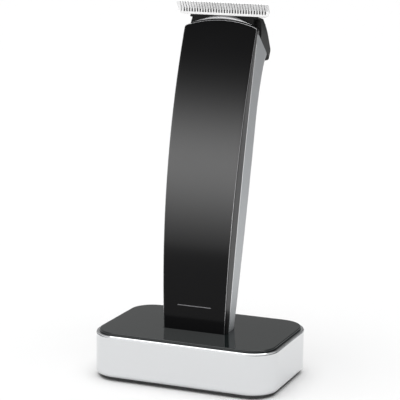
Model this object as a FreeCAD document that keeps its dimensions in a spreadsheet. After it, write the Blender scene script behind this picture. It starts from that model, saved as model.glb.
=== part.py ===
"""Body groomer standing in its charging base, as a parametric FreeCAD document.

Units are millimetres.  +Z is up, -Y is the front, +X is the right-hand side seen from the front.
The origin is the middle of the charging base, on the plane that its feet stand on.

The handset leans back in the base.  Its pieces are drawn in a frame of their own, whose +Z runs
along the handset and whose origin is the middle of its lower end, and each piece's Placement
carries it to its seat in the base.
"""
import FreeCAD, Part
import os
import Sketcher
from FreeCAD import Placement, Rotation, Vector

SIZES = {
    # charging base: outer band, black plate on top, tray, bottom plate
    "base_width": 86.0,
    "base_depth": 58.0,
    "base_corner": 12.5,
    "band_bottom": 1.5,
    "band_top": 20.8,
    "band_wall": 2.4,
    "band_round": 1.8,
    "rim_bevel": 0.3,
    "groove_drop": 0.4,
    "groove_height": 0.6,
    "groove_depth": 0.5,
    "top_inset": 1.4,
    "top_thick": 2.0,
    "top_proud": 1.1,
    "top_edge": 0.5,
    "fit_gap": 0.15,
    "tray_thick": 2.0,
    "skirt_inset": 1.5,
    "skirt_bottom": 0.6,
    "plate_top": 3.4,
    "foot_radius": 5.0,
    "foot_height": 1.6,
    "foot_gap": 0.1,
    "fixing_x": 33.0,
    "fixing_y": 20.0,
    "boss_radius": 3.2,
    # screws
    "screw_radius": 1.2,
    "screw_gap": 0.05,
    "head_radius": 2.3,
    "head_height": 1.0,
    "screw_end": 13.0,
    "small_radius": 1.0,
    "small_head": 1.9,
    # ballast, board and inlet inside the base
    "ballast_near": 20.0,
    "ballast_far": 38.0,
    "ballast_half": 16.0,
    "ballast_top": 16.0,
    "board_thick": 1.0,
    "inlet_height": 10.0,
    "inlet_bore": 2.8,
    "inlet_length": 10.0,
    "inlet_half": 5.6,
    "nose_radius": 4.2,
    "nose_gap": 0.1,
    "inlet_back": 3.0,
    # how the handset stands in the base
    "lean": 10.0,
    "seat_y": -0.5,
    "seat_z": 11.0,
    "seat_gap": 0.15,
    "socket_gap": 0.35,
    "socket_top": 16.0,
    "well_wall": 1.6,
    "well_floor": 1.6,
    # spring contacts under the handset
    "contact_x": 6.0,
    "pin_radius": 1.0,
    "pin_gap": 0.08,
    "pin_length": 1.7,
    "flange_radius": 1.6,
    "flange_height": 0.6,
    "tail_radius": 0.6,
    "tail_length": 1.1,
    "spring_seat": 5.6,
    "spring_radius": 1.15,
    "wire_radius": 0.15,
    "pad_radius": 2.4,
    "pad_thick": 0.8,
    # handset outline
    "face_radius": 310.0,
    "face_middle": 72.0,
    "face_front": 16.2,
    "cover_top": 149.1,
    "cap_radius": 48.9,
    "bottom_half": 14.36,
    "top_half": 17.4,
    "side_radius": 4300.0,
    "top_round": 1.6,
    "bottom_round": 3.0,
    "back_plane": 7.5,
    "flare_start": 105.0,
    "flare_end": 128.0,
    "flare_radius": 90.0,
    "shoulder_radius": 11.8,
    "shoulder_end": 133.4,
    "rear_round": 7.0,
    "neck_front": -4.4,
    "seat_top": 143.3,
    # handset shells
    "cover_thick": 1.2,
    "web_thick": 1.2,
    "wall": 1.8,
    "seat_wall": 2.0,
    "cap_height": 8.0,
    "tongue_half": 14.5,
    "parting_radius": 694.0,
    "parting_middle": 84.2,
    "parting_front": 9.15,
    "trim_lift": 0.45,
    "trim_rise": 1.3,
    "trim_radius": 62.0,
    "trim_half": 15.0,
    "trim_end": 1.2,
    "trim_front": -6.1,
    "trim_bevel": 0.6,
    # inner frame, cells and board of the handset
    "rail_near": 10.4,
    "rail_far": 12.0,
    "rail_front": -5.0,
    "rail_back": 2.0,
    "frame_top": 118.2,
    "cell_radius": 5.1,
    "cell_length": 44.0,
    "cell_x": 5.3,
    "cell_y": -3.6,
    "cell_bottom": 20.0,
    "button_radius": 1.8,
    "button_height": 0.8,
    "card_half": 11.0,
    "card_thick": 1.2,
    "card_bottom": 21.0,
    "card_top": 83.0,
    # power switch on the back
    "knob_half": 5.0,
    "knob_bottom": 64.0,
    "knob_length": 12.0,
    "knob_thick": 1.6,
    "knob_gap": 0.12,
    "knob_travel": 5.0,
    "stem_half": 1.3,
    "stem_length": 3.0,
    "slot_gap": 0.3,
    "lens_radius": 1.3,
    "lens_height": 88.0,
    # motor and drive
    "drive_y": -1.0,
    "motor_bottom": 90.0,
    "motor_top": 116.0,
    "motor_radius": 9.0,
    "motor_thick": 13.0,
    "motor_cap": 2.0,
    "motor_boss": 3.1,
    "boss_height": 1.6,
    "bush_radius": 2.2,
    "shaft_radius": 1.0,
    "shaft_gap": 0.06,
    "hub_radius": 3.4,
    "hub_bottom": 120.0,
    "hub_top": 126.0,
    "crank_offset": 0.75,
    "crank_radius": 0.9,
    "crank_top": 132.0,
    # cutting head
    "head_gap": 0.25,
    "head_top": 151.2,
    "head_half": 16.1,
    "notch_half": 14.2,
    "notch_depth": 3.0,
    "flange_rim": 1.0,
    "head_back": 5.7,
    "hump_y": 16.2,
    "hump_z": 138.6,
    "hump_radius": 3.5,
    "tail_y": 14.2,
    "head_round": 3.0,
    "plug_half": 6.2,
    "plug_front": -3.6,
    "plug_back": 1.8,
    "plug_bottom": 135.0,
    "plug_gap": 0.3,
    "stroke": 0.7,
    "fork_gap": 0.1,
    "prong": 1.5,
    "fork_half_depth": 1.6,
    "fork_bottom": 127.0,
    "fork_crotch": 133.0,
    "fork_stem": 2.5,
    # blades
    "blade_half": 21.8,
    "blade_corner": 2.6,
    "blade_front": -5.6,
    "bend_y": -6.1,
    "bend_z": 153.7,
    "tip_y": -8.75,
    "tip_z": 156.4,
    "edge_back_y": -8.46,
    "edge_back_z": 156.68,
    "root_y": -5.46,
    "root_z": 154.33,
    "blade_back": -4.75,
    "flange_thick": 0.9,
    "flange_half": 13.0,
    "flange_back": 5.65,
    "rail_height": 1.0,
    "tooth_pitch": 1.29,
    "tooth_slots": 32.0,
    "slot_width": 0.7,
    "tip_slot_width": 0.36,
    "cutter_half": 20.5,
    "cutter_gap": 0.05,
    "cutter_bottom": 153.95,
    "cutter_thick": 0.8,
    "cutter_back": 2.4,
    "cutter_setback": 0.65,
    "blade_screw_x": 9.0,
    "blade_screw_y": 4.4,
    "blade_screw_end": 146.0,
    "leaf_thick": 0.4,
}

doc = FreeCAD.newDocument("body_groomer")
sheet = doc.addObject("Spreadsheet::Sheet", "size")
for row, (alias, value) in enumerate(SIZES.items(), start=1):
    sheet.set("A%d" % row, alias)
    sheet.set("B%d" % row, str(value))
    sheet.setAlias("B%d" % row, alias)
doc.recompute()

parts = []


# ---------------------------------------------------------------- helpers

def solve(expression):
    """The value of an expression over the sheet's sizes."""
    return float(sheet.evalExpression(expression))


def seat_in_base(piece):
    """Place a piece drawn in the handset's frame where the handset stands in the base."""
    piece.Placement = Placement(Vector(0, 0, 0), Rotation(Vector(-1, 0, 0), solve("size.lean")))
    piece.setExpression(".Placement.Base.y", "size.seat_y")
    piece.setExpression(".Placement.Base.z", "size.seat_z")
    piece.setExpression(".Placement.Rotation.Angle", "size.lean")


def keep(piece, label, in_handset=False):
    """Name a finished sub-part and put it on the list of files to write."""
    piece.Label = label
    if piece.Label != label:
        raise RuntimeError("the name %s is taken" % label)
    if in_handset:
        seat_in_base(piece)
    parts.append(piece)
    return piece


def new_body(name):
    """An empty body, drawn in its own frame."""
    return doc.addObject("PartDesign::Body", name)


def new_sketch(body, role, name, height="0"):
    """A sketch on one of the body's own origin planes, moved along the plane's normal."""
    plane = [item for item in body.Origin.OriginFeatures if item.Role == role][0]
    made = body.newObject("Sketcher::SketchObject", name)
    made.AttachmentSupport = [(plane, "")]
    made.MapMode = "FlatFace"
    made.setExpression(".AttachmentOffset.Base.z", height)
    return made


def arc_between(start, end, radius, side):
    """Arc from start to end; it bulges to the left of the way there for side 1, right for -1."""
    chord = end - start
    left = Vector(-chord.y, chord.x, 0)
    left.normalize()
    rise = radius - (radius ** 2 - (chord.Length / 2) ** 2) ** 0.5
    return Part.Arc(start, (start + end) * 0.5 + left * (rise * side), end)


def outline(sketch, corners, arcs=None):
    """A closed outline through corners, each a pair of expressions.

    arcs maps a side's number to (radius expression, side): that side is an arc.
    """
    arcs = arcs or {}
    points = [Vector(solve(x), solve(y), 0) for x, y in corners]
    first = len(sketch.Geometry)
    count = len(points)
    for number, start in enumerate(points):
        end = points[(number + 1) % count]
        if number in arcs:
            radius, side = arcs[number]
            sketch.addGeometry(arc_between(start, end, solve(radius), side))
        else:
            sketch.addGeometry(Part.LineSegment(start, end))
    ends = []
    for number, start in enumerate(points):
        near, far = (sketch.getPoint(first + number, end) for end in (1, 2))
        forward = near.distanceToPoint(start) < far.distanceToPoint(start)
        ends.append((1, 2) if forward else (2, 1))
    for number, (x, y) in enumerate(corners):
        edge = first + number
        before = (number - 1) % count
        sketch.addConstraint(Sketcher.Constraint(
            "Coincident", first + before, ends[before][1], edge, ends[number][0]))
        for direction, expression in (("DistanceX", x), ("DistanceY", y)):
            held = sketch.addConstraint(Sketcher.Constraint(
                direction, edge, ends[number][0], solve(expression)))
            sketch.setExpression("Constraints[%d]" % held, expression)
        if number in arcs:
            radius = arcs[number][0]
            held = sketch.addConstraint(Sketcher.Constraint("Radius", edge, solve(radius)))
            sketch.setExpression("Constraints[%d]" % held, radius)


def rounded_box(sketch, half_x, half_y, radius):
    """A rectangle about the origin with round corners."""
    x, y, r = half_x, half_y, radius
    corners = [
        ("-(%s) + %s" % (x, r), "-(%s)" % y), ("%s - (%s)" % (x, r), "-(%s)" % y),
        (x, "-(%s) + %s" % (y, r)), (x, "%s - (%s)" % (y, r)),
        ("%s - (%s)" % (x, r), y), ("-(%s) + %s" % (x, r), y),
        ("-(%s)" % x, "%s - (%s)" % (y, r)), ("-(%s)" % x, "-(%s) + %s" % (y, r)),
    ]
    outline(sketch, corners, {number: (r, -1) for number in (1, 3, 5, 7)})


def pad(body, sketch, length, symmetric=False):
    """Extrude a sketch along its normal, or half each way."""
    made = body.newObject("PartDesign::Pad", sketch.Name + "_pad")
    made.Profile = sketch
    made.setExpression("Length", length)
    if symmetric:
        made.SideType = "Symmetric"
    doc.recompute()
    return made


def pocket(body, sketch, length, symmetric=False, reverse=False):
    """Cut a sketch's area out of the body and make sure that something was cut."""
    before = body.Shape.Volume
    made = body.newObject("PartDesign::Pocket", sketch.Name + "_pocket")
    made.Profile = sketch
    made.setExpression("Length", length)
    made.Reversed = reverse
    if symmetric:
        made.SideType = "Symmetric"
    doc.recompute()
    if body.Shape.Volume >= before:
        raise RuntimeError(made.Name + " cuts nothing")
    return made


def block(body, name, x, y, z, cut=False):
    """A box from pairs of expressions for its sides, added or cut away."""
    kind = "PartDesign::SubtractiveBox" if cut else "PartDesign::AdditiveBox"
    made = body.newObject(kind, name)
    for side, (low, high) in (("Length", x), ("Width", y), ("Height", z)):
        made.setExpression(side, "(%s) - (%s)" % (high, low))
    for axis, (low, high) in (("x", x), ("y", y), ("z", z)):
        made.setExpression(".Placement.Base." + axis, low)
    return made


def rod(body, name, x, y, z, radius, cut=False):
    """A cylinder along Z between the two heights of z, added or cut away."""
    kind = "PartDesign::SubtractiveCylinder" if cut else "PartDesign::AdditiveCylinder"
    made = body.newObject(kind, name)
    made.setExpression("Radius", radius)
    made.setExpression("Height", "(%s) - (%s)" % (z[1], z[0]))
    for axis, place in (("x", x), ("y", y), ("z", z[0])):
        made.setExpression(".Placement.Base." + axis, place)
    return made


def rod_along_y(body, name, x, y, z, radius, cut=False):
    """A cylinder along Y between the two places of y, added or cut away."""
    kind = "PartDesign::SubtractiveCylinder" if cut else "PartDesign::AdditiveCylinder"
    made = body.newObject(kind, name)
    made.Placement = Placement(Vector(0, 0, 0), Rotation(Vector(1, 0, 0), -90))
    made.setExpression("Radius", radius)
    made.setExpression("Height", "(%s) - (%s)" % (y[1], y[0]))
    for axis, place in (("x", x), ("y", y[0]), ("z", z)):
        made.setExpression(".Placement.Base." + axis, place)
    return made


def soften(body, base, kind, size, chosen):
    """Fillet or chamfer the edges of base that the test chosen picks."""
    doc.recompute()
    names = ["Edge%d" % number for number, edge in enumerate(base.Shape.Edges, start=1)
             if chosen(edge)]
    if not names:
        raise RuntimeError(base.Name + " has no such edge")
    made = body.newObject("PartDesign::" + kind, base.Name + "_" + kind.lower())
    made.Base = (base, names)
    made.setExpression("Radius" if kind == "Fillet" else "Size", size)
    doc.recompute()
    return made


def boolean(kind, name, base, tool):
    """A Part::Cut, Part::Common or Part::Fuse of two objects."""
    made = doc.addObject("Part::" + kind, name)
    made.Base = base
    made.Tool = tool
    made.Refine = True
    return made


# ---------------------------------------------------------------- curves of the handset

def face(height, inset="0"):
    """y of the front face at a height: a circle that bulges forward."""
    return ("(size.face_radius - size.face_front - sqrt((size.face_radius - (%s))^2"
            " - ((%s) - size.face_middle)^2))" % (inset, height))


def parting(height):
    """y of the line where the silver housing meets the black shell."""
    return ("(size.parting_radius - size.parting_front - sqrt(size.parting_radius^2"
            " - ((%s) - size.parting_middle)^2))" % height)


def side(height, inset="0"):
    """Half width of the handset at a height: a slightly bulging side line."""
    return "(size.bottom_half + (size.top_half - size.bottom_half) * (%s) / (%s) - (%s))" % (
        height, SIDE_TOP, inset)


def seat_line(y):
    """Height of the sloping seat that the cutting head stands on."""
    return ("(size.seat_top - (size.seat_top - size.shoulder_end) * ((%s) - size.neck_front)"
            " / (%s - size.neck_front))" % (y, SHOULDER_Y))


SIDE_TOP = "(size.cover_top - size.cap_radius + sqrt(size.cap_radius^2 - size.top_half^2))"
FLARE_RUN = "sqrt(size.flare_radius^2 - (size.flare_end - size.flare_start)^2)"
FLARE_Y = "(size.back_plane + size.flare_radius - %s)" % FLARE_RUN
SHOULDER_Z0 = ("(size.flare_end - size.shoulder_radius * (size.flare_end - size.flare_start)"
               " / size.flare_radius)")
SHOULDER_Y = ("(%s + size.shoulder_radius * %s / size.flare_radius"
              " - sqrt(size.shoulder_radius^2 - (size.shoulder_end - %s)^2))"
              % (FLARE_Y, FLARE_RUN, SHOULDER_Z0))
COVER_BACK = "size.cover_thick"
SHELL_BACK = "(size.cover_thick + size.web_thick)"
REACH = "40"
WIDE = "60"


def trim_sides(body, name, low, high, inset, top_arc):
    """Cut the body to the handset's front outline, between two heights, moved in by inset."""
    sketch = new_sketch(body, "XZ_Plane", name)
    low_half = side(low, inset)
    high_half = side(high, inset)
    inner = [("-" + low_half, low), (low_half, low), (high_half, high), ("-" + high_half, high)]
    arcs = {1: ("size.side_radius", -1), 3: ("size.side_radius", -1)}
    if top_arc:
        arcs[2] = ("size.cap_radius", -1)
    outline(sketch, inner, arcs)
    far_low = "(%s) - 30" % low
    far_high = "(%s) + 30" % high
    outline(sketch, [("-" + WIDE, far_low), (WIDE, far_low), (WIDE, far_high), ("-" + WIDE, far_high)])
    return pocket(body, sketch, "2 * " + WIDE, symmetric=True)


def rear_edge(edge):
    """True for the long edges between the handset's back and its sides."""
    middle = edge.CenterOfMass
    return (abs(middle.x) > 8 and middle.y > solve("size.back_plane - size.wall") - 0.1
            and edge.BoundBox.ZLength > 3)


def handset_form():
    """The handset's outer form: its side profile cut to its front outline, rear edges rounded."""
    body = new_body("handset_form")
    sketch = new_sketch(body, "YZ_Plane", "handset_profile")
    outline(sketch, [
        (face("0"), "0"),
        (face("size.cover_top"), "size.cover_top"),
        ("size.neck_front", "size.cover_top"),
        ("size.neck_front", "size.seat_top"),
        (SHOULDER_Y, "size.shoulder_end"),
        (FLARE_Y, "size.flare_end"),
        ("size.back_plane", "size.flare_start"),
        ("size.back_plane", "0"),
    ], {0: ("size.face_radius", 1), 4: ("size.shoulder_radius", -1), 5: ("size.flare_radius", -1)})
    pad(body, sketch, "2 * " + REACH, symmetric=True)
    cut = trim_sides(body, "handset_outline", "0", SIDE_TOP, "0", top_arc=True)
    rear = soften(body, cut, "Fillet", "size.rear_round", rear_edge)
    corner = soften(body, rear, "Fillet", "size.top_round", lambda edge: (
        edge.BoundBox.YLength > 1 and edge.BoundBox.XLength < 0.01 and edge.BoundBox.ZLength < 0.01
        and edge.CenterOfMass.z > solve(SIDE_TOP) - 0.1))
    soften(body, corner, "Fillet", "size.bottom_round", lambda edge: (
        edge.BoundBox.YLength > 5 and edge.BoundBox.XLength < 0.01
        and edge.CenterOfMass.z < 0.01))
    return body


def handset_cavity():
    """The hollow inside the handset's shells."""
    body = new_body("handset_cavity")
    sketch = new_sketch(body, "YZ_Plane", "cavity_profile")
    top = "(size.seat_top - size.seat_wall)"
    inner_back = "(size.back_plane - size.wall)"
    inner_flare = ("(%s + size.flare_radius + size.wall - sqrt((size.flare_radius + size.wall)^2"
                   " - (size.flare_end - size.flare_start)^2))" % inner_back)
    outline(sketch, [
        (face("size.cap_height", SHELL_BACK), "size.cap_height"),
        (face(top, SHELL_BACK), top),
        ("size.neck_front", top),
        (inner_flare, "size.flare_end"),
        (inner_back, "size.flare_start"),
        (inner_back, "size.cap_height"),
    ], {0: ("size.face_radius - " + SHELL_BACK, 1),
        3: ("size.flare_radius + size.wall", -1)})
    pad(body, sketch, "2 * " + REACH, symmetric=True)
    cut = trim_sides(body, "cavity_outline", "0", SIDE_TOP, "size.wall", top_arc=False)
    soften(body, cut, "Fillet", "size.rear_round - size.wall", rear_edge)
    return body


def region(name, corners, arcs=None):
    """A wide slab with a given side profile, used to pick out one piece of the handset."""
    body = new_body(name)
    sketch = new_sketch(body, "YZ_Plane", name + "_profile")
    outline(sketch, corners, arcs)
    pad(body, sketch, "2 * " + REACH, symmetric=True)
    return body


# ---------------------------------------------------------------- handset shells

def build_shells():
    """Cover, shell, housing and cap: one form, split along its parting lines."""
    form = handset_form()
    blank = boolean("Cut", "shell_blank", form, handset_cavity())
    top = "size.cover_top"
    cap = "size.cap_height"
    seat = "size.seat_top"

    ahead = region("cover_region", [
        (face("0", COVER_BACK), "0"), ("-" + REACH, "0"),
        ("-" + REACH, top), (face(top, COVER_BACK), top),
    ], {3: ("size.face_radius - " + COVER_BACK, -1)})
    keep(boolean("Common", "front_cover", form, ahead), "front_cover", True)

    middle = region("shell_region", [
        (face(cap, COVER_BACK), cap), (face(top, COVER_BACK), top),
        ("size.neck_front", top), ("size.neck_front", seat),
        (parting(seat), seat), (parting(cap), cap),
    ], {0: ("size.face_radius - " + COVER_BACK, 1), 4: ("size.parting_radius", -1)})
    tongue = new_body("shell_tongue")
    block(tongue, "tongue_block", ("-size.tongue_half", "size.tongue_half"), ("-" + REACH, "size.neck_front"),
          ("size.motor_top", seat))
    shell = boolean("Common", "shell_with_tongue", blank, boolean("Fuse", "shell_and_tongue", middle, tongue))
    keep(boolean("Cut", "front_shell", shell, ahead), "front_shell", True)

    behind = region("housing_region", [
        (parting(cap), cap), (parting(seat), seat), (REACH, seat), (REACH, cap),
    ], {0: ("size.parting_radius", 1)})
    openings = new_body("housing_openings")
    block(openings, "plug_way", ("-size.plug_half - size.plug_gap", "size.plug_half + size.plug_gap"),
          ("size.plug_front - size.plug_gap", "size.plug_back + size.plug_gap"),
          ("size.fork_bottom", "size.head_top"))
    block(openings, "stem_way", ("-size.stem_half - size.slot_gap", "size.stem_half + size.slot_gap"),
          ("0", "size.back_plane + 1"), (STEM_BOTTOM + " - size.slot_gap",
          STEM_BOTTOM + " + size.stem_length + size.knob_travel + size.slot_gap"))
    rod_along_y(openings, "lens_way", "0", ("0", "size.back_plane + 1"), "size.lens_height",
                "size.lens_radius + size.screw_gap")
    rear = boolean("Cut", "housing_behind_tongue", behind, tongue)
    housing = boolean("Common", "housing_blank", blank, rear)
    keep(boolean("Cut", "rear_housing", housing, openings), "rear_housing", True)

    below = region("cap_region", [
        (face("0", COVER_BACK), "0"), (face(cap, COVER_BACK), cap), (REACH, cap), (REACH, "0"),
    ], {0: ("size.face_radius - " + COVER_BACK, 1)})
    recess = new_body("cap_recesses")
    for name, sign in (("left", "-"), ("right", "")):
        x = sign + "size.contact_x"
        rod(recess, "pad_recess_" + name, x, "0", ("-1", "size.pad_thick"),
            "size.pad_radius + size.screw_gap")
        rod(recess, "cap_screw_way_" + name, sign + CAP_SCREW_X, CAP_SCREW_Y, ("-2", "size.cap_height + 1"),
            "size.small_radius + size.screw_gap")
        rod(recess, "cap_head_way_" + name, sign + CAP_SCREW_X, CAP_SCREW_Y, ("-3", "size.head_height * 2"),
            "size.small_head + size.screw_gap")
    link = "size.pad_radius"
    block(recess, "recess_link", ("-" + REACH, REACH), ("-" + link, link), ("-3", "-0.5"))
    lower = boolean("Common", "cap_blank", blank, below)
    keep(boolean("Cut", "bottom_cap", lower, recess), "bottom_cap", True)


STEM_BOTTOM = "(size.knob_bottom + size.knob_length / 2 - size.stem_length / 2)"
CAP_SCREW_X = "(size.rail_near + size.rail_far) / 2"
CAP_SCREW_Y = "0"


def build_trim():
    """Silver crescent on the shoulder, between the cover's top edge and the head's neck."""
    body = new_body("shoulder_trim")
    sketch = new_sketch(body, "XZ_Plane", "trim_front", "-size.neck_front")
    low_centre = "(size.cover_top + size.trim_lift - size.cap_radius)"
    high_centre = "(size.cover_top + size.trim_rise - size.trim_radius)"
    low = "(%s + sqrt(size.cap_radius^2 - size.trim_half^2))" % low_centre
    inner = "(size.trim_half - size.trim_end)"
    high = "(%s + sqrt(size.trim_radius^2 - %s^2))" % (high_centre, inner)
    outline(sketch, [
        ("-size.trim_half", low), ("size.trim_half", low), (inner, high), ("-" + inner, high),
    ], {0: ("size.cap_radius", 1), 2: ("size.trim_radius", -1)})
    crescent = pad(body, sketch, "size.neck_front - size.trim_front")
    soften(body, crescent, "Chamfer", "size.trim_bevel", lambda edge: (
        edge.BoundBox.XLength > 20 and edge.CenterOfMass.y < solve("size.trim_front") + 0.01
        and edge.CenterOfMass.z > solve("size.cover_top") - 0.3))
    keep(body, "shoulder_trim", True)


# ---------------------------------------------------------------- inside the handset

def build_frame():
    """Inner frame: two side rails joined by cross walls that part the cells and the motor."""
    body = new_body("inner_frame")
    depth = ("size.rail_front", "size.rail_back")
    full = ("-size.rail_far", "size.rail_far")
    block(body, "rail_left", ("-size.rail_far", "-size.rail_near"), depth,
          ("size.cap_height", "size.frame_top"))
    walls = {
        "cap_wall": ("size.cap_height", "size.cap_height + 2.5"),
        "cell_floor": ("size.cell_bottom - 2.6", "size.cell_bottom - 0.4"),
        "cell_roof": (CELL_TOP + " + 0.1", CELL_TOP + " + 2.1"),
        "motor_roof": ("size.motor_top + size.fit_gap", "size.frame_top"),
    }
    for name, heights in walls.items():
        block(body, name, full, depth, heights)
    block(body, "rail_right", ("size.rail_near", "size.rail_far"), depth,
          ("size.cap_height", "size.frame_top"))
    for name, sign in (("left", "-"), ("right", "")):
        rod(body, "screw_hole_" + name, sign + CAP_SCREW_X, CAP_SCREW_Y,
            ("size.cap_height - 1", "size.cell_bottom - 6"), "size.small_radius + size.screw_gap", cut=True)
    rod(body, "motor_boss_way", "0", "size.drive_y", ("size.motor_top", "size.frame_top + 1"),
        "size.motor_boss + size.fit_gap", cut=True)
    keep(body, "inner_frame", True)

    screws = new_body("cap_screws")
    rod(screws, "cap_shank_left", "-" + CAP_SCREW_X, CAP_SCREW_Y, ("size.head_height", "size.cell_bottom - 7"),
        "size.small_radius")
    rod(screws, "cap_head_left", "-" + CAP_SCREW_X, CAP_SCREW_Y, ("size.head_height", "size.head_height * 2"),
        "size.small_head")
    keep(screws, "cap_screw_left", True)
    other = new_body("cap_screws_right")
    rod(other, "cap_shank_right", CAP_SCREW_X, CAP_SCREW_Y, ("size.head_height", "size.cell_bottom - 7"),
        "size.small_radius")
    rod(other, "cap_head_right", CAP_SCREW_X, CAP_SCREW_Y, ("size.head_height", "size.head_height * 2"),
        "size.small_head")
    keep(other, "cap_screw_right", True)


CELL_TOP = "(size.cell_bottom + size.cell_length + size.button_height)"


def build_power():
    """Two cells, the strip that joins them, the board with its parts, and the contact pads."""
    for name, sign in (("left", "-"), ("right", "")):
        cell = new_body("battery_cell_" + name)
        rod(cell, "can_" + name, sign + "size.cell_x", "size.cell_y",
            ("size.cell_bottom", "size.cell_bottom + size.cell_length"), "size.cell_radius")
        rod(cell, "button_" + name, sign + "size.cell_x", "size.cell_y",
            ("size.cell_bottom + size.cell_length", CELL_TOP), "size.button_radius")
        keep(cell, "battery_cell_" + name, True)
        disc = new_body("contact_pad_" + name)
        rod(disc, "pad_disc_" + name, sign + "size.contact_x", "0", ("0", "size.pad_thick"), "size.pad_radius")
        keep(disc, "contact_pad_" + name, True)

    strip = new_body("battery_strip")
    block(strip, "strip_bar", ("-size.cell_x - 3", "size.cell_x + 3"),
          ("size.cell_y - 1.5", "size.cell_y + 1.5"), ("size.cell_bottom - 0.3", "size.cell_bottom"))
    keep(strip, "battery_strip", True)

    card = new_body("circuit_board")
    block(card, "card_plate", ("-size.card_half", "size.card_half"),
          ("size.rail_back", CARD_BACK), ("size.card_bottom", "size.card_top"))
    keep(card, "circuit_board", True)

    for name, width, low, height in (("charge_chip", "2.5", "28", "5"), ("motor_driver", "2", "40", "4")):
        chip = new_body(name)
        block(chip, name + "_case", ("-" + width, width), (CARD_BACK, CARD_BACK + " + 1.2"),
              (low, low + " + " + height))
        keep(chip, name, True)

    case = new_body("switch_body")
    block(case, "switch_case", ("-4", "4"), (CARD_BACK, "size.back_plane - size.wall - 0.2"),
          ("size.knob_bottom + 2", "size.knob_bottom + size.knob_length + size.knob_travel - 1"))
    keep(case, "switch_body", True)

    lens = new_body("status_lens")
    rod_along_y(lens, "lens_rod", "0", ("size.back_plane - size.wall - 0.4", "size.back_plane + 0.1"),
                "size.lens_height", "size.lens_radius")
    keep(lens, "status_lens", True)


CARD_BACK = "(size.rail_back + size.card_thick)"


def build_switch_knob():
    """Sliding power switch on the handset's back, with ribs for the thumb."""
    body = new_body("switch_knob")
    under = "size.back_plane + size.knob_gap"
    over = under + " + size.knob_thick"
    top = "size.knob_bottom + size.knob_length"
    plate = block(body, "knob_plate", ("-size.knob_half", "size.knob_half"), (under, over),
                  ("size.knob_bottom", top))
    soften(body, plate, "Fillet", "size.knob_thick / 2", lambda edge: (
        edge.CenterOfMass.y > solve(over) - 0.01))
    block(body, "knob_stem", ("-size.stem_half", "size.stem_half"),
          ("size.back_plane - size.wall - 0.1", under + " + 0.1"),
          (STEM_BOTTOM, STEM_BOTTOM + " + size.stem_length"))
    for number in range(4):
        height = "size.knob_bottom + size.knob_length / 2 + %g" % ((number - 1.5) * 1.8)
        block(body, "thumb_groove_%d" % number, ("-size.knob_half - 1", "size.knob_half + 1"),
              (over + " - 0.35", over + " + 1"), (height + " - 0.35", height + " + 0.35"), cut=True)
    keep(body, "switch_knob", True)


def flat_can(sketch, trim="0"):
    """The motor's outline: a circle with two flats, its centre on the drive axis."""
    radius = "(size.motor_radius - %s)" % trim
    half = "(size.motor_thick / 2 - %s)" % trim
    run = "sqrt(%s^2 - %s^2)" % (radius, half)
    front = "(size.drive_y - %s)" % half
    back = "(size.drive_y + %s)" % half
    outline(sketch, [("-" + run, front), (run, front), (run, back), ("-" + run, back)],
            {1: (radius, -1), 3: (radius, -1)})


def build_motor():
    """Motor can, its end cap and bush, and the shaft with the crank that drives the fork."""
    can = new_body("motor_can")
    sketch = new_sketch(can, "XY_Plane", "motor_outline", "size.motor_bottom")
    flat_can(sketch)
    pad(can, sketch, "size.motor_top - size.motor_bottom")
    rod(can, "motor_boss_rod", "0", "size.drive_y", ("size.motor_top - 1", "size.motor_top + size.boss_height"),
        "size.motor_boss")
    rod(can, "bush_seat", "0", "size.drive_y", ("size.motor_top", "size.motor_top + size.boss_height + 1"),
        "size.bush_radius", cut=True)
    rod(can, "shaft_way", "0", "size.drive_y", ("size.motor_bottom - 1", "size.motor_top + 1"),
        "size.shaft_radius + size.shaft_gap", cut=True)
    keep(can, "motor_can", True)

    cap = new_body("motor_end_cap")
    sketch = new_sketch(cap, "XY_Plane", "end_cap_outline", "size.motor_bottom - size.motor_cap")
    flat_can(sketch, "0.4")
    pad(cap, sketch, "size.motor_cap")
    keep(cap, "motor_end_cap", True)

    bush = new_body("motor_bush")
    rod(bush, "bush_ring", "0", "size.drive_y", ("size.motor_top", "size.motor_top + size.boss_height"),
        "size.bush_radius")
    rod(bush, "bush_bore", "0", "size.drive_y", ("size.motor_top - 1", "size.motor_top + size.boss_height + 1"),
        "size.shaft_radius + size.shaft_gap", cut=True)
    keep(bush, "motor_bush", True)

    shaft = new_body("motor_shaft")
    rod(shaft, "shaft_rod", "0", "size.drive_y", ("size.motor_bottom + 0.2", "size.hub_top - 1"),
        "size.shaft_radius")
    keep(shaft, "motor_shaft", True)

    crank = new_body("crank")
    hub = rod(crank, "crank_hub", "0", "size.drive_y", ("size.hub_bottom", "size.hub_top"), "size.hub_radius")
    soften(crank, hub, "Fillet", "0.5", lambda edge: edge.CenterOfMass.z > solve("size.hub_top") - 0.01)
    rod(crank, "crank_pin", "size.crank_offset", "size.drive_y", ("size.hub_top - 1", "size.crank_top"),
        "size.crank_radius")
    rod(crank, "crank_bore", "0", "size.drive_y", ("size.hub_bottom - 1", "size.hub_top - 1"),
        "size.shaft_radius", cut=True)
    keep(crank, "crank", True)


def build_clips():
    """Two spring leaves that grip the head's plug from its sides."""
    for name, near, far, tooth in (
            ("left", "-size.plug_half - 1.2", "-size.plug_half - 0.8", "-size.plug_half - 0.35"),
            ("right", "size.plug_half + 1.2", "size.plug_half + 0.8", "size.plug_half + 0.35")):
        low, high = (near, far) if name == "left" else (far, near)
        clip = new_body("head_clip_" + name)
        block(clip, "leaf_" + name, (low, high), ("size.drive_y - 1.5", "size.drive_y + 0.5"),
              ("size.frame_top", "size.plug_bottom + 2"))
        inner = (low, tooth) if name == "left" else (tooth, high)
        block(clip, "tooth_" + name, inner, ("size.drive_y - 1.5", "size.drive_y + 0.5"),
              ("size.plug_bottom + 1", "size.plug_bottom + 2"))
        keep(clip, "head_clip_" + name, True)


# ---------------------------------------------------------------- cutting head

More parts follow.
